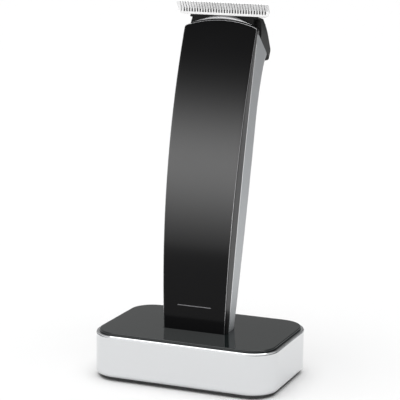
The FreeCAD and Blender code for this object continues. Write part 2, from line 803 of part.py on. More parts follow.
FORK_INNER = "(size.crank_offset + size.crank_radius + size.stroke + size.fork_gap)"
FORK_OUTER = "(%s + size.prong)" % FORK_INNER
WAY_HALF = "(%s + size.stroke + size.plug_gap)" % FORK_OUTER
FORK_FRONT = "(size.drive_y - size.fork_half_depth)"
FORK_BACK = "(size.drive_y + size.fork_half_depth)"
WAY_FRONT = "(%s - size.plug_gap)" % FORK_FRONT
WAY_BACK = "(%s + size.plug_gap)" % FORK_BACK


def build_carrier():
    """Black head that carries the blades: neck, sloping back, tail and plug."""
    body = new_body("head_carrier")
    sketch = new_sketch(body, "YZ_Plane", "carrier_profile")
    neck = "(size.neck_front + size.head_gap)"
    outline(sketch, [
        (neck, seat_line(neck) + " + size.head_gap"),
        (neck, "size.head_top"),
        ("size.head_back", "size.head_top"),
        ("size.hump_y", "size.hump_z"),
        ("size.tail_y", seat_line("size.tail_y") + " + size.head_gap"),
    ])
    bar = pad(body, sketch, "2 * " + REACH, symmetric=True)
    soften(body, bar, "Fillet", "size.hump_radius", lambda edge: (
        edge.CenterOfMass.y > solve("size.hump_y") - 0.1))
    front = new_sketch(body, "XZ_Plane", "carrier_front")
    low = "size.flare_end"
    half = "(size.top_half - 0.1)"
    step = "(%s - size.head_half)" % half
    bend = "((%s^2 + (size.head_top - size.seat_top)^2) / (2 * %s))" % (step, step)
    outline(front, [
        ("-" + half, low), (half, low), (half, "size.seat_top"), ("size.head_half", "size.head_top"),
        ("-size.head_half", "size.head_top"), ("-" + half, "size.seat_top"),
    ], {2: (bend, -1), 4: (bend, -1)})
    far = "size.head_top + 20"
    outline(front, [("-" + WIDE, low + " - 20"), (WIDE, low + " - 20"), (WIDE, far), ("-" + WIDE, far)])
    cut = pocket(body, front, "2 * " + WIDE, symmetric=True)
    soften(body, cut, "Fillet", "size.head_round", lambda edge: (
        abs(edge.CenterOfMass.x) > 8 and edge.CenterOfMass.y > solve("size.head_back") + 1
        and edge.BoundBox.YLength < 12))
    for name, x in (("left", ("-" + WIDE, "-size.notch_half")), ("right", ("size.notch_half", WIDE))):
        block(body, "neck_notch_" + name, x, (neck + " - 1", neck + " + size.notch_depth"),
              ("size.flare_end", "size.head_top - size.flange_rim"), cut=True)
    block(body, "plug", ("-size.plug_half", "size.plug_half"), ("size.plug_front", "size.plug_back"),
          ("size.plug_bottom", "size.head_top - 2"))
    block(body, "fork_way", ("-" + WAY_HALF, WAY_HALF), (WAY_FRONT, WAY_BACK),
          ("size.plug_bottom - 1", "size.head_top + 1"), cut=True)
    for name, sign in (("left", "-"), ("right", "")):
        rod(body, "blade_screw_hole_" + name, sign + "size.blade_screw_x", "size.blade_screw_y",
            ("size.blade_screw_end - 1", "size.head_top + 1"), "size.small_radius + size.screw_gap", cut=True)
    keep(body, "head_carrier", True)


def cut_teeth(body, name, width, depth, heights):
    """Cut the slots between the teeth as one slot repeated along the blade."""
    first = "-size.tooth_pitch * (size.tooth_slots - 1) / 2"
    slot = block(body, name, ("%s - %s / 2" % (first, width), "%s + %s / 2" % (first, width)),
                 depth, heights, cut=True)
    doc.recompute()
    row = body.newObject("PartDesign::LinearPattern", name + "_row")
    row.Originals = [slot]
    across = [item for item in body.Origin.OriginFeatures if item.Role == "X_Axis"][0]
    row.Direction = (across, [""])
    row.setExpression("Length", "size.tooth_pitch * (size.tooth_slots - 1)")
    row.setExpression("Occurrences", "size.tooth_slots")
    body.Tip = row
    doc.recompute()
    return row


def build_blades():
    """Fixed blade with its bent comb, the moving blade behind it, spring and screws."""
    fixed = new_body("fixed_blade")
    sketch = new_sketch(fixed, "YZ_Plane", "fixed_profile")
    low = "size.head_top"
    flange = "(size.head_top + size.flange_thick)"
    outline(sketch, [
        ("size.blade_front", low), ("size.bend_y", "size.bend_z"), ("size.tip_y", "size.tip_z"),
        ("size.edge_back_y", "size.edge_back_z"), ("size.root_y", "size.root_z"),
        ("size.blade_back", "size.root_z - (size.blade_back - size.root_y)"),
        ("size.blade_back", flange), ("size.flange_back", flange), ("size.flange_back", low),
    ])
    bar = pad(fixed, sketch, "2 * size.blade_half", symmetric=True)
    soften(fixed, bar, "Fillet", "size.blade_corner", lambda edge: (
        edge.CenterOfMass.z < solve("size.head_top") + 0.01 and edge.BoundBox.YLength > 5
        and edge.BoundBox.XLength < 0.01))
    for name, x in (("left", ("-size.blade_half - 1", "-size.flange_half")),
                    ("right", ("size.flange_half", "size.blade_half + 1"))):
        block(fixed, "flange_end_" + name, x, ("size.blade_back + 1", "size.flange_back + 1"),
              (low + " - 1", flange + " + 1"), cut=True)
    window = "(size.fork_stem + size.stroke + size.plug_gap)"
    block(fixed, "fork_window", ("-" + window, window), (WAY_FRONT, WAY_BACK),
          (low + " - 1", flange + " + 1"), cut=True)
    for name, sign in (("left", "-"), ("right", "")):
        rod(fixed, "flange_hole_" + name, sign + "size.blade_screw_x", "size.blade_screw_y",
            (low + " - 1", flange + " + 1"), "size.small_radius + size.screw_gap", cut=True)
    across = ("size.tip_y - 1", "size.blade_back + 0.05")
    cut_teeth(fixed, "fixed_slot", "size.slot_width", across,
              (low + " + size.rail_height", "size.bend_z"))
    cut_teeth(fixed, "tip_slot", "size.tip_slot_width", across,
              ("size.bend_z - 0.1", "size.edge_back_z + 1"))
    keep(fixed, "fixed_blade", True)

    moving = new_body("moving_blade")
    sketch = new_sketch(moving, "YZ_Plane", "moving_profile")
    run_y = "(size.root_y - size.edge_back_y)"
    run_z = "(size.edge_back_z - size.root_z)"
    long = "sqrt(%s^2 + %s^2)" % (run_y, run_z)
    off_y = "(%s / %s)" % (run_z, long)
    off_z = "(%s / %s)" % (run_y, long)
    tip_y = "(size.edge_back_y + size.cutter_setback * %s / %s)" % (run_y, long)
    tip_z = "(size.edge_back_z - size.cutter_setback * %s / %s)" % (run_z, long)
    top = "(size.cutter_bottom + size.cutter_thick)"
    outline(sketch, [
        ("size.root_y + size.cutter_gap * " + off_y, "size.root_z + size.cutter_gap * " + off_z),
        (tip_y + " + size.cutter_gap * " + off_y, tip_z + " + size.cutter_gap * " + off_z),
        (tip_y + " + 0.4 * " + off_y, tip_z + " + 0.4 * " + off_z),
        ("size.blade_back - 0.1", top), ("size.cutter_back", top), ("size.cutter_back", "size.cutter_bottom"),
        ("size.blade_back + 0.2", "size.cutter_bottom"),
    ])
    pad(moving, sketch, "2 * size.cutter_half", symmetric=True)
    for name, x in (("left", ("-size.cutter_half - 1", "-size.flange_half")),
                    ("right", ("size.flange_half", "size.cutter_half + 1"))):
        block(moving, "cutter_end_" + name, x, ("size.blade_back + 1.2", "size.cutter_back + 1"),
              ("size.cutter_bottom - 1", top + " + 1"), cut=True)
    cut_teeth(moving, "moving_slot", "size.tip_slot_width", ("size.tip_y - 1", "size.blade_back - 0.1"),
              ("size.root_z - 0.3", "size.edge_back_z + 1"))
    keep(moving, "moving_blade", True)

    fork = new_body("drive_fork")
    block(fork, "fork_stem_bar", ("-size.fork_stem", "size.fork_stem"), (FORK_FRONT, FORK_BACK),
          ("size.fork_crotch", "size.cutter_bottom"))
    block(fork, "fork_bridge", ("-" + FORK_OUTER, FORK_OUTER), (FORK_FRONT, FORK_BACK),
          ("size.fork_crotch", "size.fork_crotch + 1.5"))
    for name, x in (("left", ("-" + FORK_OUTER, "-" + FORK_INNER)), ("right", (FORK_INNER, FORK_OUTER))):
        block(fork, "prong_" + name, x, (FORK_FRONT, FORK_BACK), ("size.fork_bottom", "size.fork_crotch + 1"))
    keep(fork, "drive_fork", True)

    spring = new_body("blade_spring")
    under = "(%s + size.cutter_gap)" % top
    over = "(%s + size.leaf_thick)" % under
    leg = ("size.cutter_back + 0.2", "size.cutter_back + 0.2 + size.leaf_thick")
    block(spring, "spring_bar", ("-size.blade_screw_x - 2", "size.blade_screw_x + 2"),
          (leg[1] + " - 1.5", leg[1]), (under, over))
    for name, sign in (("left", "-"), ("right", "")):
        centre = sign + "size.blade_screw_x"
        across = (centre + " - 2", centre + " + 2")
        block(spring, "spring_arm_" + name, (centre + " - 1.2", centre + " + 1.2"),
              ("size.drive_y - 2.5", leg[1]), (under, over))
        block(spring, "spring_leg_" + name, across, leg, (flange, over))
        block(spring, "spring_foot_" + name, across, (leg[0], "size.flange_back"),
              (flange, flange + " + size.leaf_thick"))
        rod(spring, "spring_hole_" + name, centre, "size.blade_screw_y", (flange + " - 1", flange + " + 1"),
            "size.small_radius + size.screw_gap", cut=True)
    keep(spring, "blade_spring", True)

    head = (flange + " + size.leaf_thick", flange + " + size.leaf_thick + size.head_height")
    for name, sign in (("left", "-"), ("right", "")):
        screw = new_body("blade_screw_" + name)
        x = sign + "size.blade_screw_x"
        rod(screw, "blade_shank_" + name, x, "size.blade_screw_y", ("size.blade_screw_end", head[1]),
            "size.small_radius")
        rod(screw, "blade_head_" + name, x, "size.blade_screw_y", head, "size.small_radius * 1.28")
        block(screw, "blade_drive_" + name, (x + " - 1.5", x + " + 1.5"),
              ("size.blade_screw_y - 0.2", "size.blade_screw_y + 0.2"), (head[1] + " - 0.4", head[1] + " + 1"),
              cut=True)
        keep(screw, "blade_screw_" + name, True)


# ---------------------------------------------------------------- charging base

def base_slab(body, name, inset, bottom, top):
    """A rounded slab with the base's outline moved in by inset."""
    sketch = new_sketch(body, "XY_Plane", name, bottom)
    rounded_box(sketch, "(size.base_width / 2 - (%s))" % inset, "(size.base_depth / 2 - (%s))" % inset,
                "(size.base_corner - (%s))" % inset)
    return pad(body, sketch, "(%s) - (%s)" % (top, bottom))


def hollow(body, name, inset, bottom, top):
    """Cut the base's outline, moved in by inset, out of the body between two heights."""
    sketch = new_sketch(body, "XY_Plane", name, top)
    rounded_box(sketch, "(size.base_width / 2 - (%s))" % inset, "(size.base_depth / 2 - (%s))" % inset,
                "(size.base_corner - (%s))" % inset)
    return pocket(body, sketch, "(%s) - (%s)" % (top, bottom))


TRAY_TOP = "(size.band_top + size.top_proud - size.top_thick)"


def build_band():
    """Satin metal band round the base, with a fine groove under its rim."""
    body = new_body("base_band")
    slab = base_slab(body, "band_outline", "0", "size.band_bottom", "size.band_top")
    low = soften(body, slab, "Fillet", "size.band_round", lambda edge: (
        edge.CenterOfMass.z < solve("size.band_bottom") + 0.01 and edge.BoundBox.ZLength < 0.01))
    soften(body, low, "Chamfer", "size.rim_bevel", lambda edge: (
        edge.CenterOfMass.z > solve("size.band_top") - 0.01 and edge.BoundBox.ZLength < 0.01))
    hollow(body, "band_inside", "size.band_wall", "size.band_bottom - 1", "size.band_top")
    hollow(body, "top_rebate", "size.top_inset - size.foot_gap", TRAY_TOP, "size.band_top")
    groove_top = "(size.band_top - size.groove_drop)"
    sketch = new_sketch(body, "XY_Plane", "groove_ring", groove_top)
    for inset in ("-1", "size.groove_depth"):
        rounded_box(sketch, "(size.base_width / 2 - (%s))" % inset,
                    "(size.base_depth / 2 - (%s))" % inset, "(size.base_corner - (%s))" % inset)
    pocket(body, sketch, "size.groove_height")
    rod_along_y(body, "nose_way", "0", ("size.base_depth / 2 - size.band_wall - 1", "size.base_depth / 2 + 1"),
                "size.inlet_height", "size.nose_radius + size.nose_gap", cut=True)
    keep(body, "base_band")


def socket_form():
    """The space that the handset's lower end takes in the base, with its clearance."""
    body = new_body("socket_form")
    sketch = new_sketch(body, "YZ_Plane", "socket_profile")
    outline(sketch, [
        (face("-size.seat_gap", "-size.socket_gap"), "-size.seat_gap"),
        (face("size.socket_top", "-size.socket_gap"), "size.socket_top"),
        ("size.back_plane + size.socket_gap", "size.socket_top"),
        ("size.back_plane + size.socket_gap", "-size.seat_gap"),
    ], {0: ("size.face_radius + size.socket_gap", 1)})
    pad(body, sketch, "2 * " + REACH, symmetric=True)
    cut = trim_sides(body, "socket_outline", "-size.seat_gap - 1", "size.socket_top + 1",
                     "-size.socket_gap", top_arc=False)
    soften(body, cut, "Fillet", "size.rear_round + size.socket_gap", rear_edge)
    seat_in_base(body)
    return body


def build_base_top():
    """Black top plate and the tray under it, whose well holds the handset's lower end."""
    socket = socket_form()
    plate = new_body("top_plate_blank")
    slab = base_slab(plate, "top_outline", "size.top_inset", TRAY_TOP, "size.band_top + size.top_proud")
    soften(plate, slab, "Fillet", "size.top_edge", lambda edge: (
        edge.CenterOfMass.z > solve("size.band_top + size.top_proud") - 0.01
        and edge.BoundBox.ZLength < 0.01))
    keep(boolean("Cut", "base_top_plate", plate, socket), "base_top_plate")

    well = new_body("well_block")
    reach = "(size.socket_gap + size.well_wall)"
    block(well, "well_walls", ("-" + side("size.socket_top", "-" + reach), side("size.socket_top", "-" + reach)),
          (face("size.socket_top", "-" + reach), "size.back_plane + " + reach),
          ("-size.seat_gap - size.well_floor", "size.socket_top"))
    seat_in_base(well)
    below = new_body("below_top")
    block(below, "below_top_block", ("-" + WIDE, WIDE), ("-" + WIDE, WIDE), ("0", TRAY_TOP))
    walls = boolean("Common", "well_below_top", well, below)

    plate = new_body("tray_plate")
    base_slab(plate, "tray_outline", "size.band_wall + size.fit_gap", TRAY_TOP + " - size.tray_thick", TRAY_TOP)
    for name, x, y in FIXINGS:
        rod(plate, "boss_" + name, x, y, ("size.plate_top", TRAY_TOP + " - 1"), "size.boss_radius")
    for name, x, y in FIXINGS:
        rod(plate, "boss_hole_" + name, x, y, ("size.plate_top - 1", "size.screw_end + 1"),
            "size.screw_radius + size.screw_gap", cut=True)
    tray = boolean("Cut", "tray_with_socket", boolean("Fuse", "tray_and_well", plate, walls), socket)
    holes = new_body("pin_holes")
    for name, sign in (("left", "-"), ("right", "")):
        rod(holes, "pin_hole_" + name, sign + "size.contact_x", "0", ("-size.well_floor - 2", "1"),
            "size.pin_radius + size.pin_gap")
    block(holes, "pin_hole_link", ("-size.contact_x", "size.contact_x"), ("-0.2", "0.2"), ("0.2", "0.8"))
    seat_in_base(holes)
    keep(boolean("Cut", "base_tray", tray, holes), "base_tray")


FIXINGS = [
    ("front_left", "-size.fixing_x", "-size.fixing_y"),
    ("front_right", "size.fixing_x", "-size.fixing_y"),
    ("rear_left", "-size.fixing_x", "size.fixing_y"),
    ("rear_right", "size.fixing_x", "size.fixing_y"),
]


def build_base_bottom():
    """Bottom plate, its four feet and the screws under them."""
    plate = new_body("bottom_plate")
    base_slab(plate, "skirt_outline", "size.skirt_inset", "size.skirt_bottom", "size.band_bottom")
    base_slab(plate, "plate_outline", "size.band_wall + size.foot_gap", "size.band_bottom", "size.plate_top")
    for name, x, y in FIXINGS:
        rod(plate, "foot_recess_" + name, x, y, ("size.skirt_bottom - 1", "size.foot_height"),
            "size.foot_radius + size.foot_gap", cut=True)
        rod(plate, "head_recess_" + name, x, y, ("size.foot_height - 0.5", "size.foot_height + size.head_height"),
            "size.head_radius + size.foot_gap", cut=True)
        rod(plate, "screw_way_" + name, x, y, ("0", "size.plate_top + 1"),
            "size.screw_radius + size.screw_gap", cut=True)
    rod(plate, "foot_recess_middle", "0", "0", ("size.skirt_bottom - 1", "size.foot_height"),
        "size.foot_radius + size.foot_gap", cut=True)
    keep(plate, "bottom_plate")
    for name, x, y in FIXINGS + [("middle", "0", "0")]:
        foot = new_body("foot_" + name)
        disc = rod(foot, "foot_disc_" + name, x, y, ("0", "size.foot_height"), "size.foot_radius")
        soften(foot, disc, "Chamfer", "0.3", lambda edge: (
            edge.CenterOfMass.z < 0.01 and edge.BoundBox.ZLength < 0.01))
        keep(foot, "foot_" + name)
    for name, x, y in FIXINGS:
        screw = new_body("base_screw_" + name)
        rod(screw, "shank_" + name, x, y, ("size.foot_height", "size.screw_end"), "size.screw_radius")
        rod(screw, "screw_head_" + name, x, y, ("size.foot_height", "size.foot_height + size.head_height"),
            "size.head_radius")
        keep(screw, "base_screw_" + name)


def build_base_inside():
    """Ballast, charging board, inlet and the sprung contacts."""
    ballast = {"left": ("-size.ballast_far", "-size.ballast_near"),
               "right": ("size.ballast_near", "size.ballast_far")}
    for name, x in ballast.items():
        weight = new_body("ballast_" + name)
        bar = block(weight, "ballast_bar_" + name, x, ("-size.ballast_half", "size.ballast_half"),
                    ("size.plate_top", "size.ballast_top"))
        soften(weight, bar, "Fillet", "1", lambda edge: edge.BoundBox.ZLength > 5)
        keep(weight, "ballast_" + name)

    board_top = "(size.plate_top + size.board_thick)"
    inlet_face = "(size.base_depth / 2 - 0.4)"
    inlet_end = "(%s - size.inlet_length)" % inlet_face
    board = new_body("charging_board")
    block(board, "board_plate", ("-12", "12"), ("-12", "size.base_depth / 2 - size.band_wall - 0.6"),
          ("size.plate_top", board_top))
    keep(board, "charging_board")

    inlet = new_body("charging_inlet")
    block(inlet, "inlet_case", ("-size.inlet_half", "size.inlet_half"),
          (inlet_end + " - size.inlet_back", "size.base_depth / 2 - size.band_wall - 0.3"),
          (board_top, "2 * size.inlet_height - " + board_top))
    rod_along_y(inlet, "inlet_nose", "0", (inlet_end, inlet_face), "size.inlet_height", "size.nose_radius")
    rod_along_y(inlet, "inlet_bore_cut", "0", (inlet_end, inlet_face + " + 1"), "size.inlet_height",
                "size.inlet_bore", cut=True)
    rod_along_y(inlet, "inlet_contact_seat", "0", (inlet_end + " - 1.2", inlet_end + " + 0.5"),
                "size.inlet_height", "size.inlet_bore * 0.6", cut=True)
    keep(inlet, "charging_inlet")
    tip = new_body("inlet_contact")
    rod_along_y(tip, "inlet_contact_disc", "0", (inlet_end + " - 1.2", inlet_end), "size.inlet_height",
                "size.inlet_bore * 0.6")
    keep(tip, "inlet_contact")

    rest = new_body("contact_block")
    sketch = new_sketch(rest, "YZ_Plane", "contact_block_profile")
    outline(sketch, [
        (world_y("-3.5"), board_top), (world_y("3.5"), board_top),
        (world_y("3.5"), world_z("3.5")), (world_y("-3.5"), world_z("-3.5")),
    ])
    pad(rest, sketch, "2 * size.contact_x + 6", symmetric=True)
    keep(rest, "contact_block")

    pin_top = "(0.05 - size.seat_gap)"
    flange_top = "(%s - size.pin_length)" % pin_top
    flange_bottom = "(%s - size.flange_height)" % flange_top
    for name, sign in (("left", "-"), ("right", "")):
        x = sign + "size.contact_x"
        pin = new_body("contact_pin_" + name)
        stem = rod(pin, "pin_stem_" + name, x, "0", (flange_top, pin_top), "size.pin_radius")
        soften(pin, stem, "Fillet", "0.3", lambda edge: edge.CenterOfMass.z > solve(pin_top) - 0.01)
        rod(pin, "pin_flange_" + name, x, "0", (flange_bottom, flange_top), "size.flange_radius")
        rod(pin, "pin_tail_" + name, x, "0", (flange_bottom + " - size.tail_length", flange_bottom),
            "size.tail_radius")
        keep(pin, "contact_pin_" + name, True)

        coil = doc.addObject("Part::Feature", "contact_spring_" + name)
        coil.Shape = spring_shape(solve(x), solve("-size.spring_seat"), solve(flange_bottom))
        keep(coil, "contact_spring_" + name, True)


def world_y(across):
    """y in the base of a point of the contact springs' seat, given by its place across it."""
    return "(size.seat_y + (%s) * cos(size.lean) - size.spring_seat * sin(size.lean))" % across


def world_z(across):
    """z in the base of a point of the contact springs' seat, given by its place across it."""
    return "(size.seat_z - (%s) * sin(size.lean) - size.spring_seat * cos(size.lean))" % across


def spring_shape(x, bottom, top):
    """A coil spring between two heights: a square wire swept along a helix."""
    wire = solve("size.wire_radius")
    radius = solve("size.spring_radius")
    height = top - bottom - 2 * wire
    turns = 4
    foot = Vector(x, 0, bottom + wire)
    helix = Part.makeHelix(height / turns, height, radius)
    helix.Placement = Placement(foot, Rotation())
    start = foot + Vector(radius, 0, 0)
    corners = [start + Vector(across * wire, 0, up * wire)
               for across, up in ((-1, -1), (1, -1), (1, 1), (-1, 1), (-1, -1))]
    return Part.Wire(helix).makePipeShell([Part.makePolygon(corners)], True, True)


# ---------------------------------------------------------------- build, check and write

build_band()
build_base_top()
build_base_bottom()
build_base_inside()
build_shells()
build_trim()
build_frame()
build_power()
build_switch_knob()
build_motor()
build_clips()
build_carrier()
build_blades()
doc.recompute()

for item in doc.Objects:
    if "Invalid" in item.State or "Error" in item.State:
        raise RuntimeError("%s did not build: %s" % (item.Label, item.State))

os.makedirs("parts", exist_ok=True)
for piece in parts:
    shape = piece.Shape
    if shape.isNull() or not shape.isValid() or shape.Volume <= 0:
        raise RuntimeError(piece.Label + " has no valid shape")
for piece in parts:
    piece.Shape.exportStep("parts/%s.step" % piece.Label)
    solids = len(piece.Shape.Solids)
    print("%-28s %9.2f mm3, %d solid%s" % (piece.Label, piece.Shape.Volume, solids, "s" * (solids > 1)))
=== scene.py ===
"""Looks of a body groomer that stands in its charging base.

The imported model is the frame: its nodes stay where they are and get materials here.  Some outer
pieces are replaced by finer surfaces, worked out with numpy from formulas, and small details are
added.  Lengths are in metres in the row frame, except in the handset's own drawing frame, which is
in millimetres: its +Z runs along the handset and its origin is the middle of the lower end.
"""
import logging
import math
from dataclasses import dataclass
from enum import Enum
from typing import Sequence

import bmesh
import bpy
import numpy as np
from mathutils import Matrix, Vector

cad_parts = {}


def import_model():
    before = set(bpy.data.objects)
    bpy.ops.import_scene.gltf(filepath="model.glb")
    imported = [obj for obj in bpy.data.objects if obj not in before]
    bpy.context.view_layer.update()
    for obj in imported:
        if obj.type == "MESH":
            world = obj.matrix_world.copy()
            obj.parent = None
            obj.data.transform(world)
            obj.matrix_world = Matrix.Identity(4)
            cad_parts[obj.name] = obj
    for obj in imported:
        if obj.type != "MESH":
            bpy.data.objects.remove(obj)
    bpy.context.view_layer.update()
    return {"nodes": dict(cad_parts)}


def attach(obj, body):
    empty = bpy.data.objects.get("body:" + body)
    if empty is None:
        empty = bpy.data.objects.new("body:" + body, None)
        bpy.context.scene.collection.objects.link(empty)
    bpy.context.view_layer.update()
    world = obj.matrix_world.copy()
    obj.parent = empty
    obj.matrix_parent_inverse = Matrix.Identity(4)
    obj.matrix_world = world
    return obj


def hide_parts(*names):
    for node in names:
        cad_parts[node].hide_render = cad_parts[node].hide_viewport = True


LOG = logging.getLogger("groomer")
GRAIN_DEPTH = 0.00003
LINE_DEPTH = 0.00002
"""Depths of the moulded grain and of the brushed lines, in metres."""
SIDE_AXIS = (0.31, 0.12, 0.94)
"""A direction that no tube here runs along."""
Colour = tuple[float, float, float]
MM = 0.001
MERGE = 1e-6
"""Distance, in metres, under which points become one, which closes poles and seams."""


# ---- node helpers


class Surface(Enum):
    """Names of the shader node groups that several finishes share."""

    GRAIN = "moulded_grain"
    BRUSHED = "brushed_lines"
    HANDLING = "handling_marks"


def node(tree: bpy.types.NodeTree, kind: str, **settings: object) -> bpy.types.Node:
    """Add a node and set its properties and numbered or named inputs.

    Args:
        tree: The node tree to add to.
        kind: The node's type name.
        settings: Properties; a value under ``inputs`` is a dict of input name or number to value.

    Returns:
        The new node.
    """
    made = tree.nodes.new(kind)
    for name, value in settings.items():
        if name == "inputs":
            for key, entry in value.items():
                made.inputs[key].default_value = entry
        else:
            setattr(made, name, value)
    return made


def link(tree: bpy.types.NodeTree, *pairs: tuple[object, object]) -> None:
    """Join output sockets to input sockets, each pair in turn."""
    for output, target in pairs:
        tree.links.new(output, target)


def maths(tree: bpy.types.NodeTree, operation: str,
          inputs: dict[int, float] | None = None) -> bpy.types.Node:
    """Add a maths node with an operation and the values of its numbered inputs."""
    return node(tree, "ShaderNodeMath", operation=operation, inputs=inputs or {})


def put(name: str, data: bpy.types.ID) -> bpy.types.Object:
    """Make an object from a mesh, lamp or camera and put it into the scene."""
    made = bpy.data.objects.new(name, data)
    bpy.context.scene.collection.objects.link(made)
    return made


def new_group(name: str, inputs: Sequence[tuple[str, str, object]],
              outputs: Sequence[tuple[str, str]]) -> tuple[bpy.types.NodeTree, bpy.types.Node,
                                                           bpy.types.Node]:
    """Start a shader node group with named sockets.

    Args:
        name: The group's name.
        inputs: Name, socket type and default of each input.
        outputs: Name and socket type of each output.

    Returns:
        The group with its input node and its output node.
    """
    tree = bpy.data.node_groups.new(name, "ShaderNodeTree")
    for label, kind, default in inputs:
        socket = tree.interface.new_socket(name=label, in_out="INPUT", socket_type=kind)
        if default is not None:
            socket.default_value = default
    for label, kind in outputs:
        tree.interface.new_socket(name=label, in_out="OUTPUT", socket_type=kind)
    return tree, tree.nodes.new("NodeGroupInput"), tree.nodes.new("NodeGroupOutput")


PATTERN_OUTPUTS = [("Colour", "NodeSocketColor"), ("Height", "NodeSocketFloat"),
                   ("Roughness", "NodeSocketFloat")]
"""Outputs of the groups that carry a pattern."""


def shade_by(tree: bpy.types.NodeTree, source: bpy.types.Node, result: bpy.types.Node,
             shade: object, height: object) -> None:
    """Finish a pattern group: multiply Colour and Roughness by 1 + Variation * (shade - 0.5).

    Args:
        tree: The group.
        source: Its input node.
        result: Its output node.
        shade: The noise that changes colour and roughness, from 0 to 1.
        height: The noise that is given out as the height.
    """
    given = source.outputs
    swing = maths(tree, "SUBTRACT", {1: 0.5})
    amount = maths(tree, "MULTIPLY_ADD", {2: 1.0})
    grey = node(tree, "ShaderNodeCombineColor")
    tint = node(tree, "ShaderNodeMix", data_type="RGBA", blend_type="MULTIPLY",
                inputs={"Factor": 1.0})
    rough = maths(tree, "MULTIPLY")
    link(tree, (shade, swing.inputs[0]),
         (swing.outputs[0], amount.inputs[0]), (given["Variation"], amount.inputs[1]),
         *((amount.outputs[0], channel) for channel in grey.inputs[:3]),
         (given["Colour"], tint.inputs["A"]), (grey.outputs[0], tint.inputs["B"]),
         (tint.outputs["Result"], result.inputs["Colour"]), (height, result.inputs["Height"]),
         (given["Roughness"], rough.inputs[0]), (amount.outputs[0], rough.inputs[1]),
         (rough.outputs[0], result.inputs["Roughness"]))


def build_grain_group() -> None:
    """Fine moulded grain: noise gives a height, and slow noise shades the colour a little."""
    tree, source, result = new_group(
        Surface.GRAIN.value,
        [("Vector", "NodeSocketVector", None), ("Scale", "NodeSocketFloat", 2500.0),
         ("Colour", "NodeSocketColor", (0.5, 0.5, 0.5, 1.0)),
         ("Variation", "NodeSocketFloat", 0.08), ("Roughness", "NodeSocketFloat", 0.4)],
        PATTERN_OUTPUTS)
    given = source.outputs
    fine = node(tree, "ShaderNodeTexNoise", inputs={"Detail": 4.0, "Roughness": 0.6})
    slow = node(tree, "ShaderNodeTexNoise", inputs={"Scale": 45.0, "Detail": 3.0})
    link(tree, (given["Vector"], fine.inputs["Vector"]),
         (given["Scale"], fine.inputs["Scale"]),
         (given["Vector"], slow.inputs["Vector"]))
    shade_by(tree, source, result, slow.outputs["Fac"], fine.outputs["Fac"])


def build_brushed_group() -> None:
    """Brushed lines: noise stretched along one axis, as a height and a change of roughness."""
    tree, source, result = new_group(
        Surface.BRUSHED.value,
        [("Vector", "NodeSocketVector", None), ("Stretch", "NodeSocketVector", (1.0, 1.0, 1.0)),
         ("Colour", "NodeSocketColor", (0.7, 0.7, 0.7, 1.0)),
         ("Variation", "NodeSocketFloat", 0.1), ("Roughness", "NodeSocketFloat", 0.3)],
        PATTERN_OUTPUTS)
    given = source.outputs
    scaled = node(tree, "ShaderNodeVectorMath", operation="MULTIPLY")
    lines = node(tree, "ShaderNodeTexNoise",
                 inputs={"Scale": 1.0, "Detail": 5.0, "Roughness": 0.7})
    link(tree, (given["Vector"], scaled.inputs[0]),
         (given["Stretch"], scaled.inputs[1]),
         (scaled.outputs[0], lines.inputs["Vector"]))
    shade_by(tree, source, result, lines.outputs["Fac"], lines.outputs["Fac"])


def build_handling_group() -> None:
    """Handling marks: faint blurred smudges and thin scratches that change the roughness."""
    tree, source, result = new_group(
        Surface.HANDLING.value,
        [("Vector", "NodeSocketVector", None), ("Roughness", "NodeSocketFloat", 0.1),
         ("Smudge", "NodeSocketFloat", 0.03), ("Scratch", "NodeSocketFloat", 0.05)],
        [("Roughness", "NodeSocketFloat"), ("Mask", "NodeSocketFloat")])
    given = source.outputs
    cloud = node(tree, "ShaderNodeTexNoise", inputs={"Scale": 38.0, "Detail": 2.0})
    patch = node(tree, "ShaderNodeMapRange", inputs={"From Min": 0.5, "From Max": 0.75})
    scratch = node(tree, "ShaderNodeTexVoronoi", feature="DISTANCE_TO_EDGE",
                   inputs={"Scale": 60.0})
    thin = node(tree, "ShaderNodeMapRange", inputs={"From Min": 0.0, "From Max": 0.008,
                                                    "To Min": 1.0, "To Max": 0.0})
    broken = maths(tree, "MULTIPLY")
    smudged = maths(tree, "MULTIPLY_ADD")
    total = maths(tree, "MULTIPLY_ADD")
    link(tree, (given["Vector"], cloud.inputs["Vector"]),
         (given["Vector"], scratch.inputs["Vector"]),
         (cloud.outputs["Fac"], patch.inputs["Value"]),
         (scratch.outputs["Distance"], thin.inputs["Value"]),
         (patch.outputs[0], broken.inputs[0]), (thin.outputs[0], broken.inputs[1]),
         (patch.outputs[0], smudged.inputs[0]), (given["Smudge"], smudged.inputs[1]),
         (given["Roughness"], smudged.inputs[2]),
         (broken.outputs[0], total.inputs[0]), (given["Scratch"], total.inputs[1]),
         (smudged.outputs[0], total.inputs[2]),
         (total.outputs[0], result.inputs["Roughness"]),
         (broken.outputs[0], result.inputs["Mask"]))


def group(tree: bpy.types.NodeTree, name: Surface, **inputs: object) -> bpy.types.Node:
    """Place a shared node group in a material, fed with Object coordinates.

    Args:
        tree: The material's node tree.
        name: Which group to place.
        inputs: Values of its inputs, by name.

    Returns:
        The group's node.
    """
    place = node(tree, "ShaderNodeTexCoord")
    made = tree.nodes.new("ShaderNodeGroup")
    made.node_tree = bpy.data.node_groups[name.value]
    for label, value in inputs.items():
        made.inputs[label].default_value = value
    link(tree, (place.outputs["Object"], made.inputs["Vector"]))
    return made


